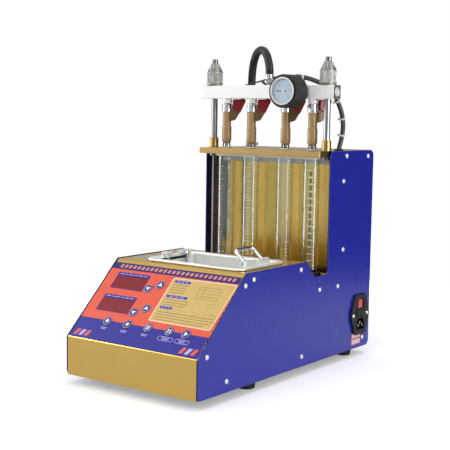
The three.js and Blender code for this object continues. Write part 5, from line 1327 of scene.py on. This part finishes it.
def makeFittings():
    neck = turned([(0, 0), (3.4, 0, 0.2), (3.4, 4), (0, 4)], 32)
    nut = slab(disc2(5.1, 0, 0, 6), 3.6, 8.6, 0.5, steps=3)
    ferrule = turned([(0, 8.2), (6.3, 8.2, 0.5), (6.3, 10.6, 0.3), (5.8, 11.4, 0.3), (6.3, 12.2, 0.3),
                      (6.3, 15, 0.7), (5.6, 15), (0, 15)], 48, 1)
    piece("hose_coupling", [neck, nut, ferrule], "satin chrome", "rail", "hose_fitting",
          onBank(0, 380.3))
    base = turned([(0, -4), (5.1, -4), (5.1, 0.3), (7.5, 0.3, 0.3), (7.5, 2.8, 0.5), (0, 2.8)], 48)
    band = turned([(5.9, 3.0, 0.2), (6.8, 3.0, 0.3), (6.8, 9.6, 0.3), (5.9, 9.6, 0.2)], 48, 1, closed=True)
    core = turned([(0, 2.6), (6.0, 2.6), (6.0, 9.8), (0, 9.8)], 48, 2)
    worm = moved(turned([(0, 0), (2, 0, 0.3), (2, 6, 0.5), (0, 6)], 24, 1),
                 shift(6.5, 0, 6.3) @ about("Y", 90))
    house = moved(slab(box2(6, 4.6, 0.8), 6.3, 9.2, 0.4, finish=1), about("Y", 90) @ shift(-6.3, 0, 0))
    piece("hose_base", [base, band, core, worm, house], "brass chrome hose", node="hose_outlet",
          at=shift(*case["hose"], case["plateTop"]))
    grommet = turned([(3.4, 289.2), (3.4, 292.0, 0.4), (5.0, 292.0, 0.6), (6.4, 290.2, 0.4), (6.4, 289.45),
                      (4.4, 289.2)], 40, closed=True)
    piece("harness_grommet", [grommet], "rubber", at=shift(*case["harness"], 0))


makeRail(railLook)
makeClamps(clampLook)
makeGauge(gaugeLook)
makeFittings()
print("rail made")


# The pieces inside keep their own shapes and get their materials
insideLooks = {
    "base_plate": "zinc", "transducer": "satin", "power_supply": "zinc", "ultrasonic_driver": "board",
    "control_board": "board", "reservoir": "tank", "pump": "blackPlastic",
}
for node, look in insideLooks.items():
    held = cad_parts[node].data.materials
    held.clear()
    held.append(finishes[look])


# Floor, light and world
lampLook = {
    "key": {"place": (0.3, -2.0, 1.5), "size": 1.2, "watts": 15},
    "left": {"place": (-1.7, -0.9, 1.2), "size": 0.8, "watts": 5},
    "right": {"place": (2.0, 0.2, 1.5), "size": 0.9, "watts": 7},
    "top": {"place": (0.0, 0.4, 2.2), "size": 1.5, "watts": 14},
}
# The walls of the studio as bright metal mirrors them: degrees about +Z from +X, and how bright each is
studioWalls = [(-180, 0.2), (-166, 0.35), (-159, 11.0), (-148, 11.0), (-140, 0.7), (-126, 0.95), (-96, 1.0),
               (-82, 0.8), (-68, 0.3), (-54, 0.2), (-42, 0.4), (-28, 0.8), (-19, 1.0), (-16, 12.0), (6, 12.0),
               (10, 0.9), (24, 0.6), (40, 0.3), (54, 0.14), (66, 0.05), (95, 0.1), (115, 0.4), (130, 0.6),
               (150, 0.5), (180, 0.2)]
brightest = 12.0
floorLook = {"colour": (0.86, 0.86, 0.87, 1), "radius": 0.85, "fadeFrom": 0.42, "fadeTo": 0.74, "seen": 0.3,
             "mirrored": 0.08}


def seenPlainly(tree):
    # two shares: rays of the camera and through glass, and rays that metal mirrors
    rays = addNode(tree, "ShaderNodeLightPath").outputs
    seen = addNode(tree, "ShaderNodeMath", {0: rays["Is Camera Ray"], 1: rays["Is Transmission Ray"]},
                   operation="MAXIMUM").outputs["Value"]
    return seen, rays["Is Glossy Ray"]


def makeFloor(look):
    mesh = bmesh.new()
    bmesh.ops.create_circle(mesh, cap_ends=True, segments=96, radius=look["radius"])
    data = bpy.data.meshes.new("floor")
    mesh.to_mesh(data)
    mesh.free()
    made, tree, place = blank("pale_floor")
    plain = addNode(tree, "ShaderNodeBsdfDiffuse", {"Color": look["colour"]}).outputs["BSDF"]
    away = addNode(tree, "ShaderNodeVectorMath", {0: place}, operation="LENGTH").outputs["Value"]
    # it fades to the white backdrop before its edge
    glow = addNode(tree, "ShaderNodeMapRange", {
        "Value": away, "From Min": look["fadeFrom"], "From Max": look["fadeTo"], "To Min": look["seen"],
        "To Max": 1.0}).outputs["Result"]
    seen, mirrored = seenPlainly(tree)
    glow = addNode(tree, "ShaderNodeMath", {0: glow, 1: seen}, operation="MULTIPLY").outputs["Value"]
    total = addNode(tree, "ShaderNodeMath", {0: mirrored, 1: look["mirrored"], 2: glow},
                    operation="MULTIPLY_ADD").outputs["Value"]
    light = addNode(tree, "ShaderNodeEmission", {"Strength": total}).outputs["Emission"]
    both = addNode(tree, "ShaderNodeAddShader", {0: plain, 1: light}).outputs["Shader"]
    addNode(tree, "ShaderNodeOutputMaterial", {"Surface": both})
    data.materials.append(made)
    linked("floor", data)


def makeWorld(walls):
    world = bpy.data.worlds.new("studio")
    world.use_nodes = True
    tree = world.node_tree
    tree.nodes.clear()
    where = addNode(tree, "ShaderNodeTexCoord").outputs["Generated"]
    axes = addNode(tree, "ShaderNodeSeparateXYZ", {"Vector": where}).outputs
    # soft light for matt surfaces: stronger from above
    soft = addNode(tree, "ShaderNodeMapRange", {
        "Value": axes["Z"], "From Min": -0.1, "From Max": 0.9, "To Min": 0.3,
        "To Max": 0.62}).outputs["Result"]
    turn = addNode(tree, "ShaderNodeMath", {0: axes["Y"], 1: axes["X"]}, operation="ARCTAN2").outputs["Value"]
    share = addNode(tree, "ShaderNodeMapRange", {"Value": turn, "From Min": -math.pi, "From Max": math.pi})
    ramp = addNode(tree, "ShaderNodeValToRGB", {"Fac": share.outputs["Result"]})
    stops = ramp.color_ramp.elements
    for i, (degrees, level) in enumerate(walls):
        stop = stops[0] if i == 0 else stops[-1] if degrees == 180 else stops.new((degrees + 180) / 360)
        stop.color = [level / brightest] * 3 + [1]
    wall = addNode(tree, "ShaderNodeVectorMath", {0: ramp.outputs["Color"], "Scale": brightest},
                   operation="SCALE").outputs["Vector"]
    # the ceiling is one large soft box
    high = addNode(tree, "ShaderNodeMapRange", {"Value": axes["Z"], "From Min": 0.5, "From Max": 0.85})
    mirrored = addNode(tree, "ShaderNodeMix", {0: high.outputs["Result"], 6: wall, 7: (0.95, 0.95, 0.95, 1)},
                       data_type="RGBA").outputs[2]
    seen, glossy = seenPlainly(tree)
    lit = addNode(tree, "ShaderNodeMix", {0: glossy, 6: soft, 7: mirrored}, data_type="RGBA").outputs[2]
    last = addNode(tree, "ShaderNodeMix", {0: seen, 6: lit, 7: (1, 1, 1, 1)}, data_type="RGBA").outputs[2]
    back = addNode(tree, "ShaderNodeBackground", {"Color": last}).outputs["Background"]
    addNode(tree, "ShaderNodeOutputWorld", {"Surface": back})
    bpy.context.scene.world = world


def makeLamps(lamps):
    for name, lamp in lamps.items():
        data = bpy.data.lights.new(name, "AREA")
        data.shape = "SQUARE"
        data.size = lamp["size"]
        data.energy = lamp["watts"]
        made = linked(name, data)
        made.location = lamp["place"]
        made.rotation_mode = "QUATERNION"
        made.rotation_quaternion = (Vector(lamp["place"]) - Vector((0, 0, 0.2))).to_track_quat("Z", "Y")


makeFloor(floorLook)
makeWorld(studioWalls)
makeLamps(lampLook)
bpy.context.scene.view_settings.view_transform = "Standard"
print("stage set")
